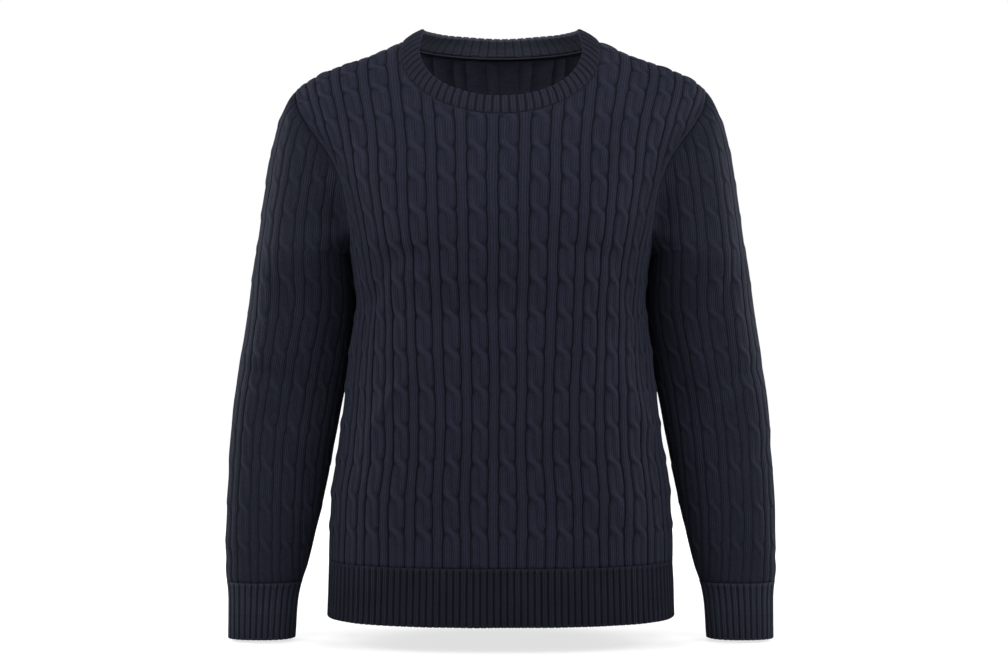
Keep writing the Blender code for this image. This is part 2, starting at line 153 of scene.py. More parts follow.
# ---------- the knitting
# On a panel: the width of one repeat at its middle line, and the repeats from there to its side.
knit = table(
    "climb pitch repeats",
    (-0.595, 0.0282, 8.5), (-0.478, 0.0281, 8.5), (-0.416, 0.0270, 8.5), (-0.357, 0.0272, 8.5),
    (-0.314, 0.0280, 8.5), (-0.266, 0.0292, 8.5), (-0.222, 0.0300, 8.5), (-0.187, 0.0305, 8.25),
    (-0.160, 0.0308, 8.0), (-0.129, 0.0311, 8.25), (-0.100, 0.0317, 8.85), (-0.070, 0.0332, 9.35),
    (-0.040, 0.0345, 9.3), (0.0, 0.0362, 9.3), (0.100, 0.0365, 9.3),
)
sleeve_knit = table(
    "height pitch",
    (-0.565, 0.0225), (-0.460, 0.0232), (-0.370, 0.0248), (-0.270, 0.0275), (-0.180, 0.0261),
    (-0.100, 0.0236), (SHOULDER_POINT, 0.0220),
)
BODY_OFFSET, SLEEVE_OFFSET = 0.25, 0.5  # repeats from the middle line to a cable's centre
BODY_HALF, SLEEVE_HALF = 8.9, 8.0  # repeats in half a lattice before it is trimmed
BODY_REACH = 0.086  # how far the body's lattices climb
BODY_CROSSINGS = (-0.5030, -0.4683, -0.4336, -0.3970, -0.3604, -0.3233, -0.2860, -0.2524, -0.2180,
                  -0.1835, -0.1498, -0.1197, -0.0850, -0.0470, -0.0110, 0.0250, 0.0600)
SLEEVE_CROSSINGS = (-0.5240, -0.4840, -0.4420, -0.4020, -0.3600, -0.3230, -0.2860, -0.2500,
                    -0.2160, -0.1820, -0.1480, -0.1155, -0.0850)
SLEEVE_TWIST = 0.005  # how far the wales turn forwards from the elbow up to the shoulder
TWIST_FROM, TWIST_OVER = -0.46, 0.24  # from this height, over this much
BODY_WANDER, SLEEVE_WANDER = 0.0007, 0.0006  # how far a wale strays
WANDER_LENGTH, WANDER_STRETCH = 0.07, 0.6  # its waves' length, drawn out along the wale
MEAN_PITCH = 0.028  # a repeat's usual width
CABLE_HALF = 0.3205  # of a repeat; the rest is the plain rib between two cables
# Columns of the outer and the inner lattice, in repeats to each side of a cable's middle.
FINE_STEPS = (0.0, 0.055, 0.110, 0.165, 0.215, 0.262, 0.297, CABLE_HALF, 0.344, 0.3855, 0.4405, 0.5)
COARSE_STEPS = (0.0, CABLE_HALF - 0.03, CABLE_HALF, CABLE_HALF + 0.03, 0.5)
NEAR_ROWS = (-0.0066, -0.0048, -0.0032, -0.0016, 0.0, 0.0016, 0.0032, 0.0048, 0.0066)
FAR_ROW, COARSE_ROW = 0.0040, 0.0085  # longest steps between the other rows
LEAST_ROW = 0.0006  # and the shortest
CAP_ROWS = (0.0003, 0.0009, 0.0018, 0.0030)  # more rows below the top of a sleeve
STITCHES, COURSE = 12, 0.00174  # stitches in a repeat, and the height of one

PINCH, PINCH_REACH = 0.0009, 0.0055  # gutters close in at a crossing
CROSS_HALF = 0.0059  # half the height in which the strands change over
STRAND_SAG, STRAND_POWER = 0.0007, 2.4  # how far and how roundly a strand's edges drop
STRAND_RISE, STRAND_NARROWING = 0.0002, 0.2  # 1 would keep the width of a strand that runs aslant
OVER_RISE, OVER_LENGTH, OVER_WIDTH = 0.0013, 0.0066, 0.75  # the strand on top at a crossing
UNDER_SINK, UNDER_LENGTH = 0.0009, 0.0052  # the strand below it
CREVICE, CREVICE_WIDTH = 0.00008, 0.00012  # between the two
CABLE_EDGE = 0.0014  # a cable's side falls away in this distance
CROWN, CROWN_WIDTH = 0.00020, 0.0022  # the round back of a plain rib
GUTTER_DEPTH, GUTTER_WIDTH = 0.0017, 0.0006
EDGE_DROP, EDGE_WIDTH = 0.0005, 0.0019
DEEPEST = 0.0030  # no hollow of the knitting goes deeper
SLEEVE_DEPTH = 0.58  # height of a sleeve's cables against the body's
SLEEVE_EDGE, SLEEVE_EDGE_WIDTH = 0.45, 0.0060  # how much flatter they are beside the seam
SHOULDER_EDGE, SHOULDER_EDGE_WIDTH = 0.60, 0.0160  # and the body's beside the shoulder seams
# The smooth strip beside an armhole: its width at two heights, its rise, and the step beside it.
STRIP_HEIGHTS, STRIP_WIDTHS = (-0.180, -0.100), (0.0098, 0.0058)
STRIP_RISE, STRIP_EDGE, STRIP_STEP, STEP_PLACE = 0.0005, 0.0022, 0.0012, 0.0010
STRIP_FROM, STRIP_OVER = -0.226, 0.008  # it fades in from this height, over this much

HEM_RIBS, CUFF_RIBS = 70, 30
NECK_RIBS, NECK_FRONT_RIBS = 70, 22  # all round, and from mid front to a shoulder seam
RIB_COLUMNS = (-0.5, -0.41, -0.28, -0.14, 0.0, 0.14, 0.28, 0.41)
RIB_WALES = 3  # two knitted and one purled between two ribs
# Depth and width of the gutter between two ribs, of the slope beside it, and of a rib's own groove.
RIB_HOLLOWS = ((0.0014, 0.0008), (0.0004, 0.0019), (0.00022, 0.0007))
RIB_WAVE, RIB_WAVE_LENGTH = 0.0002, 0.05
INNER_RIB = 0.6  # height of the ribs on the inside against those outside
PLAIN_RISE, SEWN_RISE = 0.0012, 0.0030  # ribs reach their height this far from the seam
NECKBAND_PROUD = 0.0006  # the neckband stands out from the panels by this much
BAND_GRID = 40  # steps across a band in the grid that its rows are read from
BAND_EDGE_STEPS, BAND_INNER_ROWS = 6, 9  # round its free edge, and up its inside

# Soft creases: place on the piece, lean from upright in degrees, and sizes. A negative depth is
# a ridge. A place is given by its distance across from the middle or outer line, and its height.
# across, height, lean, length, width, depth
FRONT_CREASES = (
    (-0.146, -0.330, 8, 0.060, 0.0075, 0.0031),
    (-0.119, -0.380, 31, 0.042, 0.0065, -0.0029),
    (-0.134, -0.270, 30, 0.034, 0.0100, 0.0026),
    (-0.112, -0.292, 42, 0.030, 0.0120, 0.0016),
    (-0.152, -0.425, -6, 0.052, 0.0100, 0.0021),
    (0.147, -0.338, -9, 0.054, 0.0080, 0.0029),
    (0.138, -0.383, -24, 0.034, 0.0085, -0.0030),
    (0.133, -0.276, -27, 0.038, 0.0095, 0.0025),
    (0.108, -0.300, -46, 0.028, 0.0120, 0.0013),
    (0.155, -0.440, 7, 0.046, 0.0110, 0.0020),
    (-0.010, -0.281, 88, 0.085, 0.0190, 0.0026),
    (-0.094, -0.229, 84, 0.042, 0.0125, 0.0038),
    (0.089, -0.226, 98, 0.040, 0.0120, 0.0036),
    (-0.060, -0.505, 76, 0.050, 0.0130, 0.0012),
    (0.075, -0.492, 104, 0.042, 0.0120, 0.0013),
)
BACK_CREASES = (
    (-0.128, -0.268, 34, 0.040, 0.0110, 0.0038),
    (0.131, -0.262, -30, 0.044, 0.0100, 0.0035),
    (-0.104, -0.318, 48, 0.036, 0.0120, 0.0026),
    (0.098, -0.326, -52, 0.030, 0.0130, 0.0029),
    (0.012, -0.404, 84, 0.070, 0.0150, 0.0042),
    (-0.030, -0.448, 97, 0.056, 0.0130, 0.0029),
    (0.048, -0.352, 79, 0.044, 0.0140, 0.0022),
    (-0.004, -0.120, 3, 0.060, 0.0180, 0.0022),
)
SLEEVE_CREASES = (
    (-0.062, -0.268, 32, 0.036, 0.0100, 0.0032),
    (-0.044, -0.346, 72, 0.030, 0.0085, 0.0038),
    (-0.066, -0.392, 50, 0.028, 0.0080, 0.0040),
    (-0.030, -0.430, 66, 0.026, 0.0090, 0.0019),
    (0.058, -0.372, -50, 0.032, 0.0100, 0.0029),
    (0.036, -0.300, -38, 0.040, 0.0110, 0.0022),
    (0.050, -0.452, -62, 0.028, 0.0100, 0.0022),
    (-0.020, -0.540, 80, 0.030, 0.0080, 0.0014),
)
CREASE_BOW = 0.12  # how much a crease is bent
CREASE_SHIFTS = (-0.002, 0.006)  # how far round they move on the left sleeve and the right
CREASE_FADE = 0.016  # creases and unevenness die out this far from a seam
SWELL, SWELL_LENGTH = 0.0004, 0.06  # the cloth's unevenness
# Below the underarm the sleeve and the body swell to meet: where, and how far each swells.
TOUCH_HEIGHT, TOUCH_LENGTH, TOUCH_REACH = -0.243, 0.013, 0.020
SLEEVE_TOUCH, BODY_TOUCH = 0.0011, 0.0005

# ---------- where pieces meet
SNAP = 0.25  # a place closer to a seam than this share of an edge moves onto it
MITRE = 0.0045  # neighbours lean alike within this distance of their seam
RIM_SINK, RIM_WIDTH = 0.0004, 0.0018  # every panel rolls in by this much at its seams
JOINT_LAP = 0.0005  # how far a panel runs down into its ribbed band
JOINT_SINK, JOINT_WIDTH = 0.0004, 0.0012  # and how far it sinks there
INNER_RELIEF = 0.5  # the inside of the cloth follows the outside by this share
SEAM_CUT = 0.003  # a seam's ridge ends this far from where seams meet
RIDGE_RADIUS, RIDGE_SIDES, RIDGE_STEP = 0.0012, 8, 0.0011
RIDGE_BEAD, BEAD_SHARE = 0.0031, 0.22  # length of one loop of the linking, and its swell
RIDGE_LIFT, RIDGE_FLATNESS = 0.2, 1.25  # in radii: how far in its middle lies, and half its width
RIDGE_END = 0.04  # how small it gets at its ends, as the square of a share
RIDGE_SHADE = 0.4  # how far it takes the inside's painted paler colour, and how much painted shade its dips get
NECK_RIDGE_DROP = 0.0012  # the neck's ridge lies this far below its seam

# ---------- the finish
YARNS = {
    "cable": (0.0180, 0.0201, 0.0362),
    "sleeve": (0.0180, 0.0204, 0.0338),
    # painted shade: the hem's yarn is painted darker than the body's to stand for the shade low on
    # the body
    "hem": (0.0154, 0.0178, 0.0296),
    # painted light: the cuffs' yarn is painted lighter than the body's to stand for the light that
    # falls on them
    "cuff": (0.0292, 0.0326, 0.0508),
    # painted light: the neckband's yarn is painted a little lighter than the body's to stand for
    # the light on the band
    "neck": (0.0204, 0.0224, 0.0377),
}
INSIDE_PAINTED_LIGHT = (2.4, 2.4, 2.0)  # painted light: the inside of the cloth is painted this much paler, a little for its purl face and mostly for light that reaches in
PAINTED_SHADE_TINT = 0.28  # painted shade: the yarn's colour falls to this share in the deepest hollows
FULL_SHADE_DEPTH, MOST_HIGHLIGHT = 0.0020, -0.5  # the painted shade is full this deep, and turns to painted highlight, down to this, on raised strands
FUZZ_GRAIN, HEATHER_GRAIN, CLOUD_GRAIN = 2600.0, 700.0, 22.0
TURN = 2 * np.pi

FLOOR, FLOOR_REACH = -0.6235, 30.0
FLOOR_GREY, FLOOR_SEEN_GREY = 0.50, 0.45  # the floor's own grey, and where the camera sees it
# The floor's glow for the camera, by distance from the middle.
FLOOR_GLOW = {"From Min": 0.45, "From Max": 0.95, "To Min": 0.73, "To Max": 1.0}
WORLD_LIGHT = 0.05
LIT_PLACE = (0.0, 0.0, -0.14)
# Name, degrees round from the front and above level, distance, size and strength. A lamp that is
# off the middle plane is one of a pair.
LAMPS = (
    ("lamp", 62.0, 24.0, 1.35, 0.9, 7.6),
    ("lamp_near", 28.0, 36.0, 1.35, 0.9, 3.95),
    ("lamp_low", 0.0, 4.0, 1.35, 0.9, 0.3),
    ("lamp_low", 50.0, -6.0, 1.35, 0.5, 1.2),
    ("lamp_rim", 112.0, 4.0, 1.35, 0.6, 11.8),
    ("lamp_behind", 180.0, 32.0, 1.4, 1.0, 7.5),
)
CAMERA, LENS = (0.0033, -1.965, -0.307), 67.1


# ---------- small helpers
def hump(x, width):
    return np.exp(-(x / width) ** 2)


def ease(x):
    """0 below 0, 1 above 1, and smooth between."""
    x = np.clip(x, 0, 1)
    return x * x * (3 - 2 * x)


def unit(vectors):
    return vectors / np.maximum(np.linalg.norm(vectors, axis=-1, keepdims=True), 1e-12)


def lengths(points):
    steps = np.linalg.norm(np.diff(points, axis=0), axis=1)
    return np.concatenate([[0.0], np.cumsum(steps)])


def along_line(line, along, places):
    return np.column_stack([np.interp(places, along, line[:, k]) for k in range(3)])


def ahead(points, closed, axis):
    """Which way lines of points run along an axis of their table."""
    if closed:
        return np.roll(points, -1, axis=axis) - np.roll(points, 1, axis=axis)
    return np.gradient(points, axis=axis)


def between(values, row, column):
    """A table read between its entries, at row and column numbers that may be fractions."""
    row = np.clip(row, 0, values.shape[0] - 1.000001)
    column = np.clip(column, 0, values.shape[1] - 1.000001)
    i, j = row.astype(int), column.astype(int)
    s, t = row - i, column - j
    return ((1 - s) * ((1 - t) * values[i, j] + t * values[i, j + 1])
            + s * ((1 - t) * values[i + 1, j] + t * values[i + 1, j + 1]))


def unevenness(seed, across, up, size, count=7):
    """A gentle waviness, about one high, whose waves are about this long."""
    random = np.random.default_rng(seed)
    total = np.zeros_like(across)
    for _ in range(count):
        direction, phase = random.uniform(0, 2 * np.pi, 2)
        pace = 2 * np.pi / (size * random.uniform(0.7, 1.6))
        total += np.sin(pace * (across * np.cos(direction) + up * np.sin(direction)) + phase)
    return total / np.sqrt(count)


# ---------- the body's surface
RATIOS = np.linspace(0.26, 0.86, 61)  # of a level section: its depth over its half width
SHARES = np.linspace(0, 1, 401)


def shoulder_height(across):
    return shoulder("height", np.abs(across))


def quarter_tables():
    """For each ratio, how far across each share of the quarter section lies, and its length."""
    angle = np.linspace(0, np.pi / 2, 1201)
    across, depth = np.sin(angle) ** (2 / BODY_POWER), np.cos(angle) ** (2 / BODY_POWER)
    alongs = [lengths(np.column_stack([across, ratio * depth])) for ratio in RATIOS]
    rows = [np.interp(SHARES, along / along[-1], across) for along in alongs]
    return np.array(rows), np.array([along[-1] for along in alongs])


QUARTER_ACROSS, QUARTER_LENGTH = quarter_tables()


def ratio_row(side, height):
    ratio = torso(side, height) / torso("half_width", height)
    return (ratio - RATIOS[0]) / (RATIOS[1] - RATIOS[0])


def section_length(side, height):
    return torso("half_width", height) * np.interp(ratio_row(side, height),
                                                   np.arange(len(RATIOS)), QUARTER_LENGTH)


def section_across(side, share, height):
    column = np.clip(share, 0, 1) * (len(SHARES) - 1)
    return torso("half_width", height) * between(QUARTER_ACROSS, ratio_row(side, height), column)


def section_share(side, across, height):
    """The share of the way to the side at which a level section is this far across."""
    row = QUARTER_ACROSS[int(round(float(ratio_row(side, height))))]
    return float(np.interp(across / float(torso("half_width", height)), row, SHARES))


def body_depth(side, across, height):
    share = np.clip(1 - (np.abs(across) / torso("half_width", height)) ** BODY_POWER, 0, 1)
    over = np.clip(1 - (shoulder_height(across) - height) / SHOULDER_ROUND, 0, 1)
    depth = torso(side, height) * share ** (1 / BODY_POWER) * np.sqrt(1 - over ** 2)
    return -depth if side == "front" else depth


def body_surface(side, share, climb):
    """Points of the body at signed shares of the way to the side, and climbs up the cloth."""
    sign, share = np.sign(share), np.abs(share)
    height = np.minimum(climb, 0.0)
    for _ in range(16):
        across = section_across(side, share, height)
        bend = shoulder_height(across) - SHOULDER_ROUND
        turn = np.clip((climb - bend) / SHOULDER_ROUND, 0, np.pi / 2)
        height = np.where(climb > bend, bend + SHOULDER_ROUND * np.sin(turn), climb)
    return np.stack([sign * across, body_depth(side, across, height), height], axis=-1)


def spread(side, climb):
    """The repeats from the middle line to the side, and how evenly they are spread."""
    repeats = knit("repeats", climb)
    return repeats, section_length(side, np.minimum(climb, 0.0)) / (knit("pitch", climb) * repeats)


def column_share(side, column, climb):
    """The signed share of the way to the side of a place given in repeats from the middle."""
    repeats, even = spread(side, climb)
    goal = np.clip(np.abs(column) / repeats, 0, 1)
    share = goal.copy()
    for _ in range(6):
        value = even * share + (1 - even) * share ** 3
        share -= (value - goal) / (even + 3 * (1 - even) * share ** 2)
    return np.sign(column) * np.clip(share, 0, 1)


# ---------- seam lines
def armhole_share(side, height):
    level = max(height, SCOOP_TOP)
    share = section_share(side, float(armhole("half_width", level)), level)
    if height < SCOOP_TOP:
        down = min((SCOOP_TOP - height) / (SCOOP_TOP - UNDERARM), 1.0)
        share = 1 - (1 - share) * np.sqrt(1 - down ** 2)
    return share


def armhole_point(side, height):
    across = section_across(side, np.array([armhole_share(side, height)]), height)[0]
    return np.array([across, float(body_depth(side, across, height)), height])


def armhole_table(side):
    """Points up the armhole's seam, and the repeats from the middle line to each."""
    sweep = np.linspace(0, np.pi / 2, 40)
    heights = np.concatenate([SCOOP_TOP - (SCOOP_TOP - UNDERARM) * np.cos(sweep),
                              np.linspace(SCOOP_TOP, SHOULDER_POINT, 80)[1:]])
    points = np.array([armhole_point(side, height) for height in heights])
    columns = []
    for across, _, height in points:
        bend = float(shoulder_height(across)) - SHOULDER_ROUND
        climb = height
        if height > bend:
            climb = bend + SHOULDER_ROUND * np.arcsin(min((height - bend) / SHOULDER_ROUND, 1.0))
        (repeats, even), share = spread(side, climb), armhole_share(side, height)
        columns.append(float(repeats * (even * share + (1 - even) * share ** 3)))
    return points, np.array(columns)


def back_neck_height(out):
    top = float(shoulder_height(NECK_HALF_WIDTH))
    return NECK_BACK_HEIGHT + (top - NECK_BACK_HEIGHT) * out ** 2


def neckline(side, shares):
    """Points of half a neckline at these shares of its length from the middle."""
    across = NECK_HALF_WIDTH * np.sin(np.linspace(0, np.pi / 2, 241))
    out = across / NECK_HALF_WIDTH
    height = back_neck_height(out)
    if side == "front":
        height = NECK_LEVEL - NECK_FRONT_DROP * np.sqrt(np.clip(1 - out ** 2, 0, 1))
        rise = np.linspace(height[-1], float(shoulder_height(NECK_HALF_WIDTH)), 20)[1:]
        height = np.concatenate([height, rise])
        across = np.concatenate([across, np.full(len(rise), NECK_HALF_WIDTH)])
    line = np.column_stack([across, body_depth(side, across, height), height])
    along = lengths(line)
    return along_line(line, along, shares * along[-1])


# ---------- the sleeve's surface
def arm_section(side, height):
    """Half of a level section, from the outermost line to the armhole seam or the inner line."""
    way = -1.0 if side == "front" else 1.0
    middle, outer, deep, centre = (float(arm(name, height)) for name
                                   in ("middle", "outer", "half_depth", "behind"))
    angle = np.linspace(0, np.pi / 2, 81)
    outside = np.column_stack([middle + (outer - middle) * np.cos(angle) ** (2 / ARM_POWER),
                               centre + way * deep * np.sin(angle) ** (2 / ARM_POWER)])
    if height > UNDERARM:
        end, lead = armhole_point(side, height)[:2], float(cap("lead", height))
        turn = np.radians(cap("turn", height))
    else:
        end, lead, turn = np.array([2 * middle - outer, centre]), ARM_LEAD * deep, -np.pi / 2
    start = np.array([middle, centre + way * deep])
    full = np.array([middle - ARM_FULLNESS * (middle - end[0]), start[1]])
    leave = end + lead * np.array([np.cos(turn), -way * np.sin(turn)])
    t = np.linspace(0, 1, 81)[1:, None]
    inside = ((1 - t) ** 3 * start + 3 * t * (1 - t) ** 2 * full
              + 3 * t * t * (1 - t) * leave + t ** 3 * end)
    return np.vstack([outside, inside])


class Sleeve:
    """Tables of the left sleeve's level sections, for quick reading at many places."""

    def __init__(self):
        low = np.linspace(CUFF_BOTTOM, UNDERARM, 130)
        rise = np.linspace(0, 1, 150)[1:]
        high = UNDERARM + (SHOULDER_POINT - UNDERARM) * (1 - (1 - rise) ** 1.6)
        self.levels = np.concatenate([low, high])
        self.shares = np.linspace(0, 1, 201)
        self.across, self.depth, self.reach = {}, {}, {}
        for side in ("front", "back"):
            lines = [arm_section(side, z) for z in self.levels]
            alongs = [lengths(line) for line in lines]
            self.reach[side] = np.array([along[-1] for along in alongs])
            for values, axis in ((self.across, 0), (self.depth, 1)):
                values[side] = np.array([np.interp(self.shares * along[-1], along, line[:, axis])
                                         for along, line in zip(alongs, lines)])

    def reaches(self, distance, height):
        """How far the sleeve goes round on the side where the distance lies."""
        front, back = (np.interp(height, self.levels, self.reach[s]) for s in ("front", "back"))
        return np.where(distance < 0, front, back)

    def surface(self, distance, height, mirror):
        """Points at distances round from the outermost line, negative in front. The right sleeve
        mirrors the left."""
        share = np.abs(distance) / np.maximum(self.reaches(distance, height), 1e-6)
        row = np.interp(height, self.levels, np.arange(len(self.levels)))
        column = np.clip(share, 0, 1) * (len(self.shares) - 1)
        x, y = (np.where(distance < 0, between(values["front"], row, column),
                         between(values["back"], row, column))
                for values in (self.across, self.depth))
        return np.stack([-x if mirror else x, y, height], axis=-1)


SLEEVE = Sleeve()


# ---------- soft shapes
def touch(height, gap):
    """One where the sleeve and the body meet below the underarm, and nothing elsewhere."""
    return hump(height - TOUCH_HEIGHT, TOUCH_LENGTH) * hump(gap, TOUCH_REACH)


def crease_shape(creases, across, up):
    total = np.zeros_like(across)
    for x, z, lean, length, width, depth in creases:
        turn = np.radians(lean)
        along = (across - x) * np.sin(turn) + (up - z) * np.cos(turn)
        aside = (across - x) * np.cos(turn) - (up - z) * np.sin(turn)
        bow = aside - CREASE_BOW * along ** 2 / length
        total -= depth * hump(bow, width) * hump(along, length)
    return total


# ---------- the cable pattern
def cable_offset(column, offset):
    """How many repeats a place lies from the centre of its cable."""
    return column - offset - np.round(column - offset)


def nearest_crossing(crossings, up):
    """How far above the nearest crossing a place lies, in metres."""
    marks = np.array(crossings)
    middles = (marks[1:] + marks[:-1]) / 2
    return up - marks[np.searchsorted(middles, up)]


def pinched(column, up, pitch, offset, crossings):
    """The columns with their gutters drawn in at the crossings."""
    local = cable_offset(column, offset)
    out = np.abs(local)
    pull = np.where(out < CABLE_HALF, out / CABLE_HALF, (0.5 - out) / (0.5 - CABLE_HALF))
    near = hump(nearest_crossing(crossings, up), PINCH_REACH)
    return column - np.sign(local) * pull * near * PINCH / pitch


def strand_height(aside):
    """How far a strand's round back drops, this many half widths from its middle line."""
    return -STRAND_SAG * np.abs(aside) ** STRAND_POWER


def cable_relief(column, up, pitch, offset, crossings, hand):
    """Height of the knitting over its base, and how far the wales slide at a crossing."""
    x = cable_offset(column, offset) * pitch * hand
    y = nearest_crossing(crossings, up)
    beyond = np.abs(x) - CABLE_HALF * pitch
    shift = 0.5 * CABLE_HALF * pitch
    turn = np.clip(y / CROSS_HALF, -1, 1) * np.pi / 2
    way = np.sin(turn)
    steep = shift * np.pi / 2 / CROSS_HALF * np.cos(turn)
    narrow = 1 / np.sqrt(1 + STRAND_NARROWING * steep ** 2)
    aside = (x / shift + way) * narrow
    over = strand_height(aside) + OVER_RISE * hump(y, OVER_LENGTH) * hump(aside, OVER_WIDTH)
    under = strand_height((x / shift - way) * narrow) - UNDER_SINK * hump(y, UNDER_LENGTH)
    crevice = np.exp(-np.abs(over - under) / CREVICE_WIDTH) * CREVICE
    inside = ease(-beyond / CABLE_EDGE)
    crown = np.where(beyond > 0, CROWN * (1 - hump(beyond, CROWN_WIDTH)), 0.0)
    gutter = GUTTER_DEPTH * hump(beyond, GUTTER_WIDTH) + EDGE_DROP * hump(beyond, EDGE_WIDTH)
    relief = inside * (np.maximum(over, under) - crevice + STRAND_RISE) + crown - gutter
    relief = np.where(relief < 0, DEEPEST * np.tanh(relief / DEEPEST), relief)
    return relief, shift * way * hump(y, UNDER_LENGTH) * inside / pitch * hand


def lattice_columns(half, offset, steps):
    """Columns from -half to half repeats, at these steps to both sides of each cable's middle."""
    cells = [k + offset + way * step for k in range(-int(half) - 2, int(half) + 2)
             for step in steps for way in (-1, 1)]
    columns = np.unique(np.round(cells, 6))
    return columns[np.abs(columns) <= half]


def lattice_rows(crossings, low, high, far):
    """Rows from low to high, closer together at the crossings."""
    marks = [low] + [y for y in crossings if low < y < high] + [high]
    rows = [y + step for y in marks[1:-1] for step in NEAR_ROWS]
    for start, end in zip(marks[:-1], marks[1:]):
        first = start + (NEAR_ROWS[-1] if start != low else 0.0)
        last = end + (NEAR_ROWS[0] if end != high else 0.0)
        count = max(int(np.ceil((last - first) / far)), 1)
        rows += list(np.linspace(first, last, count + 1))
    rows = np.unique(np.round(rows, 6))
    keep = [rows[0]]
    for row in rows[1:]:
        if row - keep[-1] > LEAST_ROW and row <= high:
            keep.append(row)
    return np.array(keep)


# ---------- trimming a lattice
class Net:
    """Places of a lattice in the plane of the knitting, with the faces between them."""

    def __init__(self, columns, rows):
        self.places = np.stack(np.meshgrid(columns, rows), axis=-1).reshape(-1, 2)
        count = len(columns)
        first = (np.arange(len(rows) - 1)[:, None] * count + np.arange(count - 1)).ravel()
        self.quads = np.stack([first, first + 1, first + count + 1, first + count], axis=1)
        self.others = []
        self.fixed = np.zeros(len(self.places), bool)

    def mixed(self, value):
        """Which quads the line where the value is zero runs through."""
        signs = value[self.quads]
        return (signs > 0).any(axis=1) & (signs < 0).any(axis=1)

    def trim(self, distance):
        """Cuts away what lies where the distance is negative."""
        value = distance(self.places)
        self.snap(value)
        signs = value[self.quads]
        whole = (signs >= 0).all(axis=1) & (signs > 0).any(axis=1)
        waiting = [tuple(q) for q in self.quads[self.mixed(value)].tolist()] + self.others
        self.quads, self.others = self.quads[whole], []
        value, places, made = list(value), list(self.places), {}
        for face in waiting:
            kept = []
            for a, b in zip(face, face[1:] + face[:1]):
                if value[a] >= 0:
                    kept.append(a)
                if value[a] * value[b] < 0:
                    key = (min(a, b), max(a, b))
                    if key not in made:
                        t = value[a] / (value[a] - value[b])
                        made[key] = len(places)
                        places.append(places[a] + t * (places[b] - places[a]))
                        value.append(0.0)
                    kept.append(made[key])
            if len(kept) > 2 and any(value[k] > 0 for k in kept):
                self.others.append(tuple(kept))
        self.places = np.array(places)
        fresh = np.ones(len(places) - len(self.fixed), bool)
        self.fixed = np.concatenate([self.fixed, fresh])

    def snap(self, value):
        """Moves places that lie close to the line onto it."""
        mixed = self.quads[self.mixed(value)]
        a, b = mixed.ravel(), np.roll(mixed, -1, axis=1).ravel()
        moved = np.zeros(len(value), bool)
        crossing = value[a] * value[b] < 0
        a, b = a[crossing], b[crossing]
        t = value[a] / (value[a] - value[b])
        for start, end, share in ((a, b, t), (b, a, 1 - t)):
            close = (share < SNAP) & ~self.fixed[start]
            step = share[close, None] * (self.places[end[close]] - self.places[start[close]])
            self.places[start[close]] += step
            moved[start[close]] = True
        value[moved] = 0.0
        self.fixed |= moved

    def finish(self):
        """Drops unused places."""
        faces = self.quads.tolist() + self.others
        used = sorted({k for face in faces for k in face})
        number = {k: n for n, k in enumerate(used)}
        self.places = self.places[used]
        self.faces = [tuple(number[k] for k in face) for face in faces]


def face_normals(points, faces):
    """Smooth unit normals of a mesh's points."""
    normals = np.zeros_like(points)
    by_size = {}
    for face in faces:
        by_size.setdefault(len(face), []).append(face)
    for size, group in by_size.items():
        group = np.array(group)
        corners = points[group]
        normal = np.zeros((len(group), 3))
        for k in range(1, size - 1):
            normal += np.cross(corners[:, k] - corners[:, 0], corners[:, k + 1] - corners[:, 0])
        for k in range(size):
            np.add.at(normals, group[:, k], normal)
    return unit(normals)


def rim_loop(faces):
    """The points round the open edge of a mesh, in order."""
    edges = set()
    for face in faces:
        edges.update(zip(face, face[1:] + face[:1]))
    follow = {a: b for a, b in edges if (b, a) not in edges}
    loop, at = [], min(follow)
    while at in follow:
        loop.append(at)
        at = follow.pop(at)
    return loop


def zipped(outer, inner, points):
    """Triangles between two rims that run side by side."""
    def apart(a, b):
        return np.linalg.norm(points[a] - points[b])

    start = int(np.argmin(np.linalg.norm(points[inner] - points[outer[0]], axis=1)))
    outer, inner = outer + outer[:1], inner[start:] + inner[:start + 1]
    faces, i, j = [], 0, 0
    while i < len(outer) - 1 or j < len(inner) - 1:
        step_outer = i < len(outer) - 1
        if step_outer and j < len(inner) - 1:
            step_outer = apart(outer[i + 1], inner[j]) <= apart(outer[i], inner[j + 1])
        if step_outer:
            faces.append((outer[i + 1], outer[i], inner[j]))
            i += 1
        else:
            faces.append((inner[j], inner[j + 1], outer[i]))
            j += 1
    return faces


def tube_faces(rings, count, closed):
    """Faces of rings of points, which are themselves joined in a ring, or else have flat ends."""
    faces = []
    for j in range(rings):
        low, high = j * count, (j + 1) % rings * count
        for i in range(count if closed else count - 1):
            k = (i + 1) % count
            faces.append((low + i, low + k, high + k, high + i))
    if not closed:
        faces.append(tuple(j * count for j in range(rings)))
        faces.append(tuple(j * count + count - 1 for j in range(rings))[::-1])
    return faces


class Rims:
    """The edges of all the pieces, so that neighbours can lean alike where they meet."""

    def __init__(self):
        self.trees = {}

    def add(self, name, points, normals):
        tree = kdtree.KDTree(len(points))
        for k, point in enumerate(points):
            tree.insert(Vector(point), k)
        tree.balance()
        self.trees[name] = tree, normals

    def nearest(self, name, point):
        tree, normals = self.trees[name]
        _, k, distance = tree.find(point)
        return distance, normals[k]

    def mean_normal(self, names, point):
        """The mean of the normals of these pieces' edges, where they pass the point."""
        return unit(sum(self.nearest(name, Vector(point))[1] for name in names))

    def shared(self, name, points, normals, near):
        """The normals, turned near a seam towards the mean of both sides of it."""
        normals = normals.copy()
        others = [other for other in self.trees if other != name]
        for k in np.flatnonzero(near):
            point = Vector(points[k])
            distance, normal = min((self.nearest(other, point) for other in others),
                                   key=lambda found: found[0])
            if distance < MITRE:
                seam = unit(normal + self.nearest(name, point)[1])
                weight = ease(1 - distance / MITRE)
                normals[k] = unit((1 - weight) * normals[k] + weight * seam)
        return normals


# ---------- making pieces
def new_object(name, data):
    thing = bpy.data.objects.new(name, data)
    bpy.context.scene.collection.objects.link(thing)
    return thing


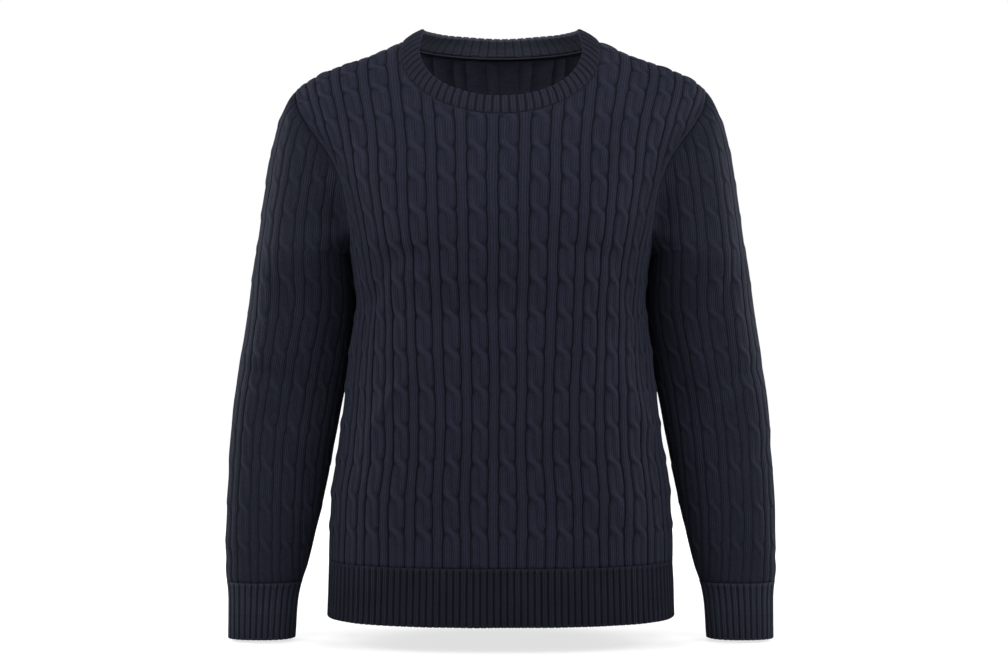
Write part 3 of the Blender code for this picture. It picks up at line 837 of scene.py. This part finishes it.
def make_piece(name, points, faces, values, material):
    """A mesh object, with four numbers for each point that its material reads."""
    mesh = bpy.data.meshes.new(name)
    mesh.from_pydata(points.tolist(), [], faces)
    for kind, numbers in zip(("wale", "course", "hollow", "inside"), values):
        layer = mesh.attributes.new(kind, "FLOAT", "POINT")
        layer.data.foreach_set("value", np.asarray(numbers, np.float32))
    mesh.shade_smooth()
    mesh.materials.append(material)
    return new_object(name, mesh)


class Panel:
    """A trimmed, cabled piece of cloth. Each kind says how its places lie in space, where its
    seams are, its lowest and highest row, half its width in repeats, and its cables."""

    more_rows, crease_shift = (), 0.0

    def net(self, steps, crossings, far):
        rows = lattice_rows(crossings, self.low, self.high, far)
        net = Net(lattice_columns(self.half, self.offset, steps), np.union1d(rows, self.more_rows))
        for distance in self.seams():
            net.trim(distance)
        net.finish()
        net.base = self.base(net.places)
        if self.flip:
            net.faces = [face[::-1] for face in net.faces]
        net.normals = face_normals(net.base, net.faces)
        net.rim = rim_loop(net.faces)
        return net

    def wales(self, places, pitch, wander, scale):
        """Where the wales really run: drawn in at the crossings, and never quite straight."""
        column, up = places.T
        column = pinched(column, up, pitch, self.offset, self.crossings)
        return column, wander * unevenness(self.seed, column * scale, up * WANDER_STRETCH,
                                           WANDER_LENGTH)

    def prepare(self, rims):
        self.fine = self.net(FINE_STEPS, self.crossings, FAR_ROW)
        self.coarse = self.net(COARSE_STEPS, (), COARSE_ROW)
        rims.add(self.name, self.fine.base[self.fine.rim], self.fine.normals[self.fine.rim])

    def soften(self, relief, places, gap, across, height):
        """The relief rolled in at the seams, and the creases, which fade out beside them."""
        up = places[:, 1] - self.low
        relief = relief - JOINT_SINK * hump(up, JOINT_WIDTH)
        roll = hump(gap, RIM_WIDTH)
        soft = crease_shape(self.creases, across + self.crease_shift, height)
        soft += SWELL * unevenness(self.seed + 1, across, height, SWELL_LENGTH)
        fade = ease(np.minimum(gap, up) / CREASE_FADE)
        return relief * (1 - roll) - RIM_SINK * roll, soft * fade

    def layer(self, net, inside, rims):
        """Points of one side of the cloth, with the numbers for its material."""
        relief, slide, soft, gap = self.relief(net.places, net.base)
        normals = rims.shared(self.name, net.base, net.normals, gap < 1.5 * MITRE)
        rise = -(WALL - INNER_RELIEF * relief - soft) if inside else relief + soft
        # Painted shade where the relief dips, and painted highlight where it rises; the inside gets
        # less of both.
        hollow = np.clip(-relief / FULL_SHADE_DEPTH, MOST_HIGHLIGHT, 1)
        values = ((net.places[:, 0] - self.offset + slide) * STITCHES, net.places[:, 1] / COURSE,
                  hollow * (INNER_RELIEF if inside else 1.0), np.full(len(relief), float(inside)))
        return net.base + normals * rise[:, None], values

    def make(self, material, rims):
        outer, outer_values = self.layer(self.fine, False, rims)
        inner, inner_values = self.layer(self.coarse, True, rims)
        count = len(outer)
        faces = self.fine.faces + [tuple(k + count for k in face[::-1])
                                   for face in self.coarse.faces]
        faces += zipped(self.fine.rim, [k + count for k in self.coarse.rim],
                        np.vstack([self.fine.base, self.coarse.base]))
        values = [np.concatenate(pair) for pair in zip(outer_values, inner_values)]
        make_piece(self.name, np.vstack([outer, inner]), faces, values, material)


class BodyPanel(Panel):
    low, high, half = HEM_TOP - JOINT_LAP, BODY_REACH, BODY_HALF
    offset, crossings = BODY_OFFSET, BODY_CROSSINGS

    def __init__(self, side, creases, seed):
        self.name, self.side, self.creases, self.seed = "panel_" + side, side, creases, seed
        self.flip = side == "back"
        points, self.seam_columns = armhole_table(side)
        self.seam_heights = points[:, 2]

    def pattern(self, places):
        """Each place's repeats from the middle line, and its climb."""
        climb = places[:, 1]
        pitch = knit("pitch", climb)
        column, wander = self.wales(places, pitch, BODY_WANDER, MEAN_PITCH)
        return column + wander / pitch, climb

    def base(self, places):
        column, climb = self.pattern(places)
        return body_surface(self.side, column_share(self.side, column, climb), climb)

    def side_gap(self, places):
        """Metres to the side seam or the armhole seam."""
        column, climb = self.pattern(places)
        height = self.base(places)[:, 2]
        seam = np.interp(height, self.seam_heights, self.seam_columns)
        seam = np.where(height < UNDERARM, knit("repeats", climb), seam)
        return (seam - np.abs(column)) * knit("pitch", climb) - SEAM_INSET

    def shoulder_gap(self, places):
        ridge = shoulder_height(self.base(places)[:, 0]) + SHOULDER_ROUND * (np.pi / 2 - 1)
        return ridge - places[:, 1] - SEAM_INSET

    def neck_gap(self, places):
        across, _, height = self.base(places).T
        out = np.abs(across) / NECK_HALF_WIDTH
        if self.side == "front":
            down = np.minimum(height - NECK_LEVEL, 0) / NECK_FRONT_DROP
            return (np.sqrt(out ** 2 + down ** 2) - 1) * NECK_RADIUS - SEAM_INSET
        return back_neck_height(out) - height - SEAM_INSET

    def seams(self):
        return self.side_gap, self.shoulder_gap, self.neck_gap

    def relief(self, places, base):
        column, climb = places.T
        across, _, height = base.T
        relief, slide = cable_relief(column, climb, knit("pitch", climb), self.offset,
                                     self.crossings, 1)
        side, over, neck = (gap(places) for gap in self.seams())
        above = ease((height - STRIP_FROM) / STRIP_OVER)
        wide = np.interp(height, STRIP_HEIGHTS, STRIP_WIDTHS)
        strip = above * (1 - ease((side - wide) / STRIP_EDGE))
        relief *= 1 - strip
        step = hump(side - wide - STEP_PLACE, STRIP_STEP)
        relief += strip * STRIP_RISE - above * STRIP_RISE * step
        relief *= 1 - SHOULDER_EDGE * hump(over, SHOULDER_EDGE_WIDTH)
        gap = np.minimum(np.minimum(side, over), neck)
        relief, soft = self.soften(relief, places, gap, across, height)
        return relief, slide, soft + BODY_TOUCH * touch(height, side), gap


class SleevePanel(Panel):
    low, high, half = CUFF_TOP - JOINT_LAP, SHOULDER_POINT - SEAM_INSET, SLEEVE_HALF
    offset, crossings, creases = SLEEVE_OFFSET, SLEEVE_CROSSINGS, SLEEVE_CREASES
    more_rows = SHOULDER_POINT - np.array(CAP_ROWS)

    def __init__(self, hand, mirror, seed):
        self.name, self.flip, self.seed = "panel_sleeve_" + hand, mirror, seed
        self.crease_shift = CREASE_SHIFTS[mirror]

    def pattern(self, places):
        """Each place's distance round from the outermost line, and its height."""
        height = places[:, 1]
        pitch = sleeve_knit("pitch", height)
        column, wander = self.wales(places, pitch, SLEEVE_WANDER, pitch)
        twist = SLEEVE_TWIST * ease((height - TWIST_FROM) / TWIST_OVER)
        return column * pitch - twist + wander, height

    def base(self, places):
        return SLEEVE.surface(*self.pattern(places), self.flip)

    def seam_gap(self, places):
        distance, height = self.pattern(places)
        return SLEEVE.reaches(distance, height) - np.abs(distance) - SEAM_INSET

    def seams(self):
        return (self.seam_gap,)

    def relief(self, places, base):
        column, height = places.T
        pitch = sleeve_knit("pitch", height)
        relief, slide = cable_relief(column, height, pitch, self.offset, self.crossings,
                                     -1 if self.flip else 1)
        gap = self.seam_gap(places)
        relief *= SLEEVE_DEPTH * (1 - SLEEVE_EDGE * hump(gap, SLEEVE_EDGE_WIDTH))
        relief, soft = self.soften(relief, places, gap, column * pitch, height)
        return relief, slide, soft + SLEEVE_TOUCH * touch(height, gap), gap


# ---------- ribbed bands
def rib_profile(local, pitch):
    """Height of a rib of two wales, at places from -0.5 to 0.5 of its pitch from its middle."""
    to_gutter = (0.5 - np.abs(local)) * pitch
    return sum(-depth * hump(place, width) for place, (depth, width)
               in zip((to_gutter, to_gutter, local * pitch), RIB_HOLLOWS))


class Band:
    """A ribbed band with a rounded free edge. surface(shares, t) gives points at shares of the way
    along it, a share t of its width from the seam; out, 1 or -1, is the side that faces out."""

    def __init__(self, name, surface, ribs, closed, width, out, wall=WALL, rows=15, sewn=False):
        self.name, self.surface, self.ribs, self.closed = name, surface, ribs, closed
        self.wall, self.width, self.out, self.rows, self.sewn = wall, width, out, rows, sewn

    def prepare(self, rims):
        self.places = np.array([k + step for k in range(self.ribs) for step in RIB_COLUMNS]) + 0.5
        if not self.closed:
            self.places = np.append(self.places, self.ribs)
        self.grid = np.array([self.surface(self.places / self.ribs, t)
                              for t in np.linspace(0, 1, BAND_GRID + 1)])
        self.normals = unit(np.cross(ahead(self.grid, self.closed, 1),
                                     ahead(self.grid, False, 0))) * self.out
        rims.add(self.name, self.grid[0], self.normals[0])

    def steps(self):
        """Shares of the width and angles of turn: down the outside, round the edge, and back."""
        end = 1 - self.wall / 2 / self.width
        outside = [(t, 0.0) for t in np.linspace(0, end, self.rows)]
        edge = [(end, angle) for angle in np.linspace(0, np.pi, BAND_EDGE_STEPS + 1)[1:-1]]
        return outside + edge + [(t, np.pi) for t in np.linspace(end, 0, BAND_INNER_ROWS)]

    def make(self, material, rims):
        radius, count = self.wall / 2, len(self.places)
        for k in range(int(MITRE / self.width * BAND_GRID) + 1):
            self.normals[k] = rims.shared(self.name, self.grid[k], self.normals[k],
                                          np.ones(count, bool))
        pitch = lengths(self.grid[BAND_GRID // 2]).max() / self.ribs
        local = self.places - np.round(self.places - 0.5) - 0.5
        inner_local = self.places - np.round(self.places)
        points, rows = [], []
        for t, angle in self.steps():
            k = min(int(t * BAND_GRID), BAND_GRID - 1)
            s = t * BAND_GRID - k
            point = (1 - s) * self.grid[k] + s * self.grid[k + 1]
            normal = unit((1 - s) * self.normals[k] + s * self.normals[k + 1])
            down = unit(self.grid[k + 1] - self.grid[k])
            outside = (1 + np.cos(angle)) / 2
            from_seam = t * self.width
            wave = RIB_WAVE * unevenness(self.ribs, self.places * pitch,
                                         np.full(count, from_seam), RIB_WAVE_LENGTH)
            rise = ease(from_seam / (SEWN_RISE if self.sewn else PLAIN_RISE))
            proud = NECKBAND_PROUD if self.sewn else 0.0
            relief = outside * (rib_profile(local, pitch) + wave + proud) * rise
            relief = relief + (1 - outside) * INNER_RIB * rib_profile(inner_local, pitch)
            if self.sewn:
                relief = relief - RIM_SINK * hump(from_seam, RIM_WIDTH) * outside
            turned = normal * np.cos(angle) + down * np.sin(angle)
            points.append(point - normal * radius + turned * (radius + relief)[:, None])
            # Painted shade in the gutters between the ribs.
            hollow = np.clip((outside * proud * rise - relief) / FULL_SHADE_DEPTH, 0, 1)
            rows.append(np.broadcast_arrays(local * RIB_WALES, from_seam / COURSE, hollow,
                                            1 - outside))
        faces = tube_faces(len(rows), count, self.closed)
        if self.out < 0:
            faces = [face[::-1] for face in faces]
        values = [np.concatenate(numbers) for numbers in zip(*rows)]
        make_piece(self.name, np.vstack(points), faces, values, material)


def hem_surface(side):
    length = float(section_length(side, HEM_TOP))

    def surface(shares, t):
        height = HEM_TOP - SEAM_INSET + (HEM_EDGE - HEM_TOP + SEAM_INSET) * t
        across = (2 * shares - 1) * (1 - SEAM_INSET / length)
        return body_surface(side, across, np.full(len(shares), height))
    return surface


def cuff_surface(mirror):
    def surface(shares, t):
        height = CUFF_TOP - SEAM_INSET + (CUFF_BOTTOM - CUFF_TOP + SEAM_INSET) * t
        heights = np.full(len(shares), height)
        turned = (shares - np.floor(shares)) * 2 - 1
        return SLEEVE.surface(turned * SLEEVE.reaches(turned, heights), heights, mirror)
    return surface


def neckband_surface(shares, t):
    """The band from its seam up to its folded edge. Shares run from the middle of the front."""
    rib = (shares % 1.0) * NECK_RIBS
    mirrored = rib > NECK_RIBS / 2
    rib = np.where(mirrored, NECK_RIBS - rib, rib)
    in_front = rib < NECK_FRONT_RIBS
    reach = np.where(in_front, rib / NECK_FRONT_RIBS,
                     (NECK_RIBS / 2 - rib) / (NECK_RIBS / 2 - NECK_FRONT_RIBS))
    point = np.where(in_front[:, None], neckline("front", reach), neckline("back", reach))
    point[:, 0] *= np.where(mirrored, -1, 1)
    slope = np.sin(reach * np.pi / 2) ** 2
    width, lean = (np.where(in_front, front, back) * (1 - slope) + sides * slope
                   for front, sides, back in (NECKBAND_WIDTHS, NECKBAND_LEANS))
    lean = np.radians(lean)[:, None]
    depth = abs(float(neckline("front", np.array([0.0]))[0, 1]))
    inward = unit(np.stack([-point[:, 0] / NECK_HALF_WIDTH ** 2, -point[:, 1] / depth ** 2,
                            np.zeros(len(point))], axis=1))
    up = np.array([0.0, 0.0, 1.0])
    along = inward * np.cos(lean) + up * np.sin(lean)
    away = up * np.cos(lean) - inward * np.sin(lean)
    start = SEAM_INSET / width
    share = start + (1 - start) * t
    bulge = NECKBAND_BULGE * np.sin(share * np.pi)
    return point + along * (width * share)[:, None] + away * bulge[:, None]


# ---------- the ridges inside the seams
def make_ridge(name, line, closed, names, material, rims):
    """The linked edge of a seam: a beaded cord that stands on the inside of the cloth."""
    along = lengths(line)
    count = int(along[-1] / RIDGE_STEP)
    places = np.linspace(0, along[-1], count, endpoint=not closed)
    path = along_line(line, along, places)
    normals = np.array([rims.mean_normal(names, point) for point in path])
    path = path - normals * (WALL + RIDGE_LIFT * RIDGE_RADIUS)
    forward = unit(ahead(path, closed, 0))
    aside = unit(np.cross(forward, normals))
    over = np.cross(aside, forward)
    bead = np.abs(np.sin(places / RIDGE_BEAD * np.pi))
    radius = RIDGE_RADIUS * (1 - BEAD_SHARE + BEAD_SHARE * bead)
    if not closed:
        ends = np.minimum(places, along[-1] - places) / RIDGE_RADIUS
        rounded = np.clip(ends * (2 - ends), RIDGE_END, 1) * (ends < 1) + (ends >= 1)
        radius = radius * np.sqrt(rounded)
    angles = np.arange(RIDGE_SIDES) * 2 * np.pi / RIDGE_SIDES
    points = np.vstack([path + (aside * np.cos(angle) * RIDGE_FLATNESS + over * np.sin(angle))
                        * radius[:, None] for angle in angles])
    # Painted shade in the dips between the beads; the cord is painted part way to the inside's
    # paler colour.
    values = (np.repeat(angles / np.pi, count), np.tile(places / COURSE, RIDGE_SIDES),
              np.tile(RIDGE_SHADE * (1 - bead), RIDGE_SIDES),
              np.full(RIDGE_SIDES * count, RIDGE_SHADE))
    return make_piece(name, points, tube_faces(RIDGE_SIDES, count, closed), values, material)


def seam_lines():
    """Name, points, whether it closes on itself, and the pieces whose edges it follows."""
    body = ("panel_front", "panel_back")
    front, back = (armhole_table(side)[0] for side in ("front", "back"))
    ring = np.vstack([front, back[::-1][1:]])
    across = np.linspace(NECK_HALF_WIDTH + SEAM_CUT, SHOULDER_END - SEAM_CUT, 60)
    top = np.column_stack([across, np.zeros(60), shoulder_height(across)])
    heights = np.linspace(UNDERARM - SEAM_CUT, HEM_BOTTOM + SEAM_CUT, 120)
    side = np.column_stack([torso("half_width", heights), np.zeros(120), heights])
    for hand, way in (("left", 1), ("right", -1)):
        mirror = np.array([way, 1, 1])
        yield "seam_armhole_" + hand, ring * mirror, True, (body[0], "panel_sleeve_" + hand)
        yield "seam_shoulder_" + hand, top * mirror, False, body
        yield "seam_side_" + hand, side * mirror, False, body
    neck = neckband_surface((np.arange(400) + 0.5) / 400, 0.0) - (0.0, 0.0, NECK_RIDGE_DROP)
    yield "seam_neck", np.vstack([neck, neck[:1]]), True, ("rib_neckband",)


# ---------- materials
class Value:
    """A number in a material. Adding, taking away and multiplying make math nodes."""

    def __init__(self, nodes, socket):
        self.nodes, self.socket = nodes, socket

    def __add__(self, other):
        return self.nodes.math("ADD", self, other)

    def __sub__(self, other):
        return self.nodes.math("SUBTRACT", self, other)

    def __mul__(self, other):
        return self.nodes.math("MULTIPLY", self, other)


class Nodes:
    """Short ways to add nodes to a material or a world."""

    def __init__(self, owner):
        owner.use_nodes = True
        self.tree = owner.node_tree

    def put(self, value, socket):
        if isinstance(value, Value):
            self.tree.links.new(value.socket, socket)
        else:
            socket.default_value = value

    def add(self, kind, output, inputs=(), **settings):
        """A new node's output."""
        node = self.tree.nodes.new(kind)
        for key, value in settings.items():
            setattr(node, key, value)
        for key, value in dict(inputs).items():
            self.put(value, node.inputs[key])
        return Value(self, node.outputs[output])

    def math(self, operation, a, b=0.0):
        return self.add("ShaderNodeMath", 0, {0: a, 1: b}, operation=operation)

    def place(self):
        return self.add("ShaderNodeTexCoord", "Object")

    def noise(self, scale, detail, place=None):
        return self.add("ShaderNodeTexNoise", "Fac",
                        {"Vector": place or self.place(), "Scale": scale, "Detail": detail})

    def mix(self, factor, a, b):
        return self.add("ShaderNodeMix", 2, {"Factor": factor, 6: a, 7: b}, data_type="RGBA")


def tinted(colour, factor):
    return tuple(c * factor for c in colour) + (1.0,)


def knit_material(name, colour):
    """Matt cotton yarn: V stitches in relief, a heathered tone, painted shade in the hollows and
    between the wales, painted highlight on raised strands, and an inside painted paler.
    """
    material = bpy.data.materials.new(name)
    nodes = Nodes(material)
    wale, course, hollow, inside = (nodes.add("ShaderNodeAttribute", "Fac", attribute_name=kind)
                                    for kind in ("wale", "course", "hollow", "inside"))
    # The two legs of each V lean apart. On the purl side, short bumps run across instead.
    leg = nodes.math("ABSOLUTE", nodes.math("FRACT", wale) - 0.5)
    phase = course + leg * 1.5
    stitch = nodes.math("SINE", leg * TURN) * (nodes.math("COSINE", phase * TURN) * 0.35 + 0.65)
    ridge = nodes.math("COSINE", leg * TURN) * 0.5 + 0.5
    loop = ridge * 0.6 + stitch * 0.4
    purl = nodes.math("COSINE", (course + ridge * 0.4) * TURN) * 0.4 + 0.5
    loop = loop + inside * (purl - loop)
    height = loop + nodes.noise(FUZZ_GRAIN, 3.0) * 0.25
    # Each stitch has its own shade, on top of the yarn's and a cloudiness of the whole cloth.
    cell = nodes.add("ShaderNodeCombineXYZ", 0, {0: nodes.math("FLOOR", wale),
                                                 1: nodes.math("FLOOR", phase)})
    single = nodes.add("ShaderNodeTexWhiteNoise", "Value", {"Vector": cell})
    drawn_out = nodes.add("ShaderNodeMapping", 0,
                          {"Vector": nodes.place(), "Scale": (1.0, 1.0, 0.45)})
    heather = nodes.noise(HEATHER_GRAIN, 2.0, drawn_out)
    cloud = nodes.noise(CLOUD_GRAIN, 3.0)
    painted_highlight = nodes.math("MINIMUM", hollow, 0.0)
    # Besides the random tones, the loops paint shade between the wales and raised strands get a
    # painted highlight.
    tone_and_painted_light = heather * 0.55 + cloud * 0.35 + single * 0.30 + loop * 0.95 - painted_highlight * 1.2 - 0.60
    face = nodes.mix(tone_and_painted_light, tinted(colour, 0.62), tinted(colour, 1.42))
    painted_paler = np.array(colour) * INSIDE_PAINTED_LIGHT
    reverse = nodes.mix(tone_and_painted_light, tinted(painted_paler, 1.0), tinted(painted_paler, 2.0))
    yarn = nodes.mix(inside, face, reverse)
    bump = {"Height": height, "Strength": 0.9, "Distance": 0.0008}
    finish = {
        # Painted shade darkens the colour in the hollows of the relief.
        "Base Color": nodes.mix(hollow * 0.85, yarn, tinted(colour, PAINTED_SHADE_TINT)),
        "Roughness": heather * 0.10 + 0.84,
        "Normal": nodes.add("ShaderNodeBump", "Normal", bump),
        "Specular IOR Level": 0.12,
        "Sheen Weight": 0.03,
        "Sheen Roughness": 0.55,
        "Sheen Tint": (0.75, 0.82, 1.0, 1.0),
    }
    for key, value in finish.items():
        nodes.put(value, nodes.tree.nodes["Principled BSDF"].inputs[key])
    return material


# ---------- stage, light and camera
def make_floor():
    """A pale floor that looks white further off and keeps the sweater's shadow."""
    material = bpy.data.materials.new("studio_floor")
    nodes = Nodes(material)
    nodes.tree.nodes.remove(nodes.tree.nodes["Principled BSDF"])
    seen = nodes.add("ShaderNodeLightPath", "Is Camera Ray")
    pale = nodes.mix(seen, (FLOOR_GREY,) * 3 + (1.0,), (FLOOR_SEEN_GREY,) * 3 + (1.0,))
    matt = nodes.add("ShaderNodeBsdfDiffuse", 0, {"Color": pale})
    away = nodes.add("ShaderNodeVectorMath", "Value", {0: nodes.place()}, operation="LENGTH")
    white = nodes.add("ShaderNodeMapRange", 0, {"Value": away, **FLOOR_GLOW})
    glow = nodes.add("ShaderNodeEmission", 0, {"Color": (1.0,) * 4, "Strength": seen * white})
    both = nodes.add("ShaderNodeAddShader", 0, {0: matt, 1: glow})
    nodes.put(both, nodes.tree.nodes["Material Output"].inputs["Surface"])
    mesh = bpy.data.meshes.new("floor")
    corners = [(x * FLOOR_REACH, y * FLOOR_REACH, 0.0)
               for x, y in ((-1, -1), (1, -1), (1, 1), (-1, 1))]
    mesh.from_pydata(corners, [], [(0, 1, 2, 3)])
    mesh.materials.append(material)
    floor = new_object("floor", mesh)
    floor.location = (0.0, 0.0, FLOOR)


def make_world():
    """White to the camera, and a faint even light on the sweater."""
    world = bpy.data.worlds.new("studio")
    nodes = Nodes(world)
    seen = nodes.add("ShaderNodeLightPath", "Is Camera Ray")
    background = nodes.tree.nodes["Background"].inputs
    nodes.put((1.0,) * 4, background["Color"])
    nodes.put(seen * (1.0 - WORLD_LIGHT) + WORLD_LIGHT, background["Strength"])
    bpy.context.scene.world = world


def make_lamps():
    for name, azimuth, elevation, distance, size, strength in LAMPS:
        pair = (("_left", -1), ("_right", 1)) if azimuth % 180 else (("", 1),)
        for end, way in pair:
            light = bpy.data.lights.new(name + end, "AREA")
            light.shape, light.size, light.energy = "DISK", size, strength
            lamp = new_object(name + end, light)
            turned, above = np.radians(way * azimuth), np.radians(elevation)
            out = np.array([np.sin(turned) * np.cos(above), -np.cos(turned) * np.cos(above),
                            np.sin(above)])
            lamp.location = np.array(LIT_PLACE) + distance * out
            lamp.rotation_euler = (np.pi / 2 - above, 0, turned)


def make_camera():
    data = bpy.data.cameras.new("camera")
    data.lens, data.sensor_width = LENS, 36.0
    camera = new_object("camera", data)
    camera.location = CAMERA
    camera.rotation_euler = (np.pi / 2, 0, 0)
    bpy.context.scene.camera = camera


# ---------- the sweater
# Kind, the CAD node that it replaces, flat size, flat area where that isn't the product of the
# two, and what it rests on. A piece's name is its kind and its node.
SHEETS = (
    ("panel", "front", (0.49, 0.60), 0.245, ["rib_hem_front"]),
    ("rib", "hem_front", (0.48, 0.057), None, ["panel_front"]),
    ("panel", "back", (0.49, 0.61), 0.255, ["rib_hem_back"]),
    ("rib", "hem_back", (0.48, 0.057), None, ["panel_back"]),
    ("panel", "sleeve_left", (0.34, 0.51), 0.125, ["panel_front"]),
    ("rib", "cuff_left", (0.19, 0.059), None, ["panel_sleeve_left"]),
    ("panel", "sleeve_right", (0.34, 0.51), 0.125, ["panel_front"]),
    ("rib", "cuff_right", (0.19, 0.059), None, ["panel_sleeve_right"]),
    ("rib", "neckband", (0.58, 0.023), None, ["panel_front", "panel_back"]),
)


def build():
    yarns = {name: knit_material("knit_%s_yarn" % name, colour) for name, colour in YARNS.items()}
    hem, cuff = HEM_TOP - HEM_BOTTOM, CUFF_TOP - CUFF_BOTTOM
    parts = (
        (BodyPanel("front", FRONT_CREASES, 11), "cable"),
        (BodyPanel("back", BACK_CREASES, 23), "cable"),
        (SleevePanel("left", False, 31), "sleeve"),
        (SleevePanel("right", True, 47), "sleeve"),
        (Band("rib_hem_front", hem_surface("front"), HEM_RIBS, False, hem, -1.0), "hem"),
        (Band("rib_hem_back", hem_surface("back"), HEM_RIBS, False, hem, 1.0), "hem"),
        (Band("rib_cuff_left", cuff_surface(False), CUFF_RIBS, True, cuff, -1.0), "cuff"),
        (Band("rib_cuff_right", cuff_surface(True), CUFF_RIBS, True, cuff, 1.0), "cuff"),
        (Band("rib_neckband", neckband_surface, NECK_RIBS, True, NECKBAND_WIDTHS[1], 1.0,
              NECKBAND_WALL, rows=11, sewn=True), "neck"),
    )
    rims = Rims()
    for part, _ in parts:
        part.prepare(rims)
    for part, yarn in parts:
        part.make(yarns[yarn], rims)
    for name, line, closed, names in seam_lines():
        ridge = make_ridge(name, line, closed, names, yarns["neck"], rims)
        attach(ridge, "root")
    for kind, node, flat, area, rests_on in SHEETS:
        piece = bpy.data.objects[kind + "_" + node]
        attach(piece, "root")
        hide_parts(node)
        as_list(rests_on)


build()
make_floor()
make_world()
make_lamps()
make_camera()
bpy.context.scene.view_settings.view_transform = "Standard"
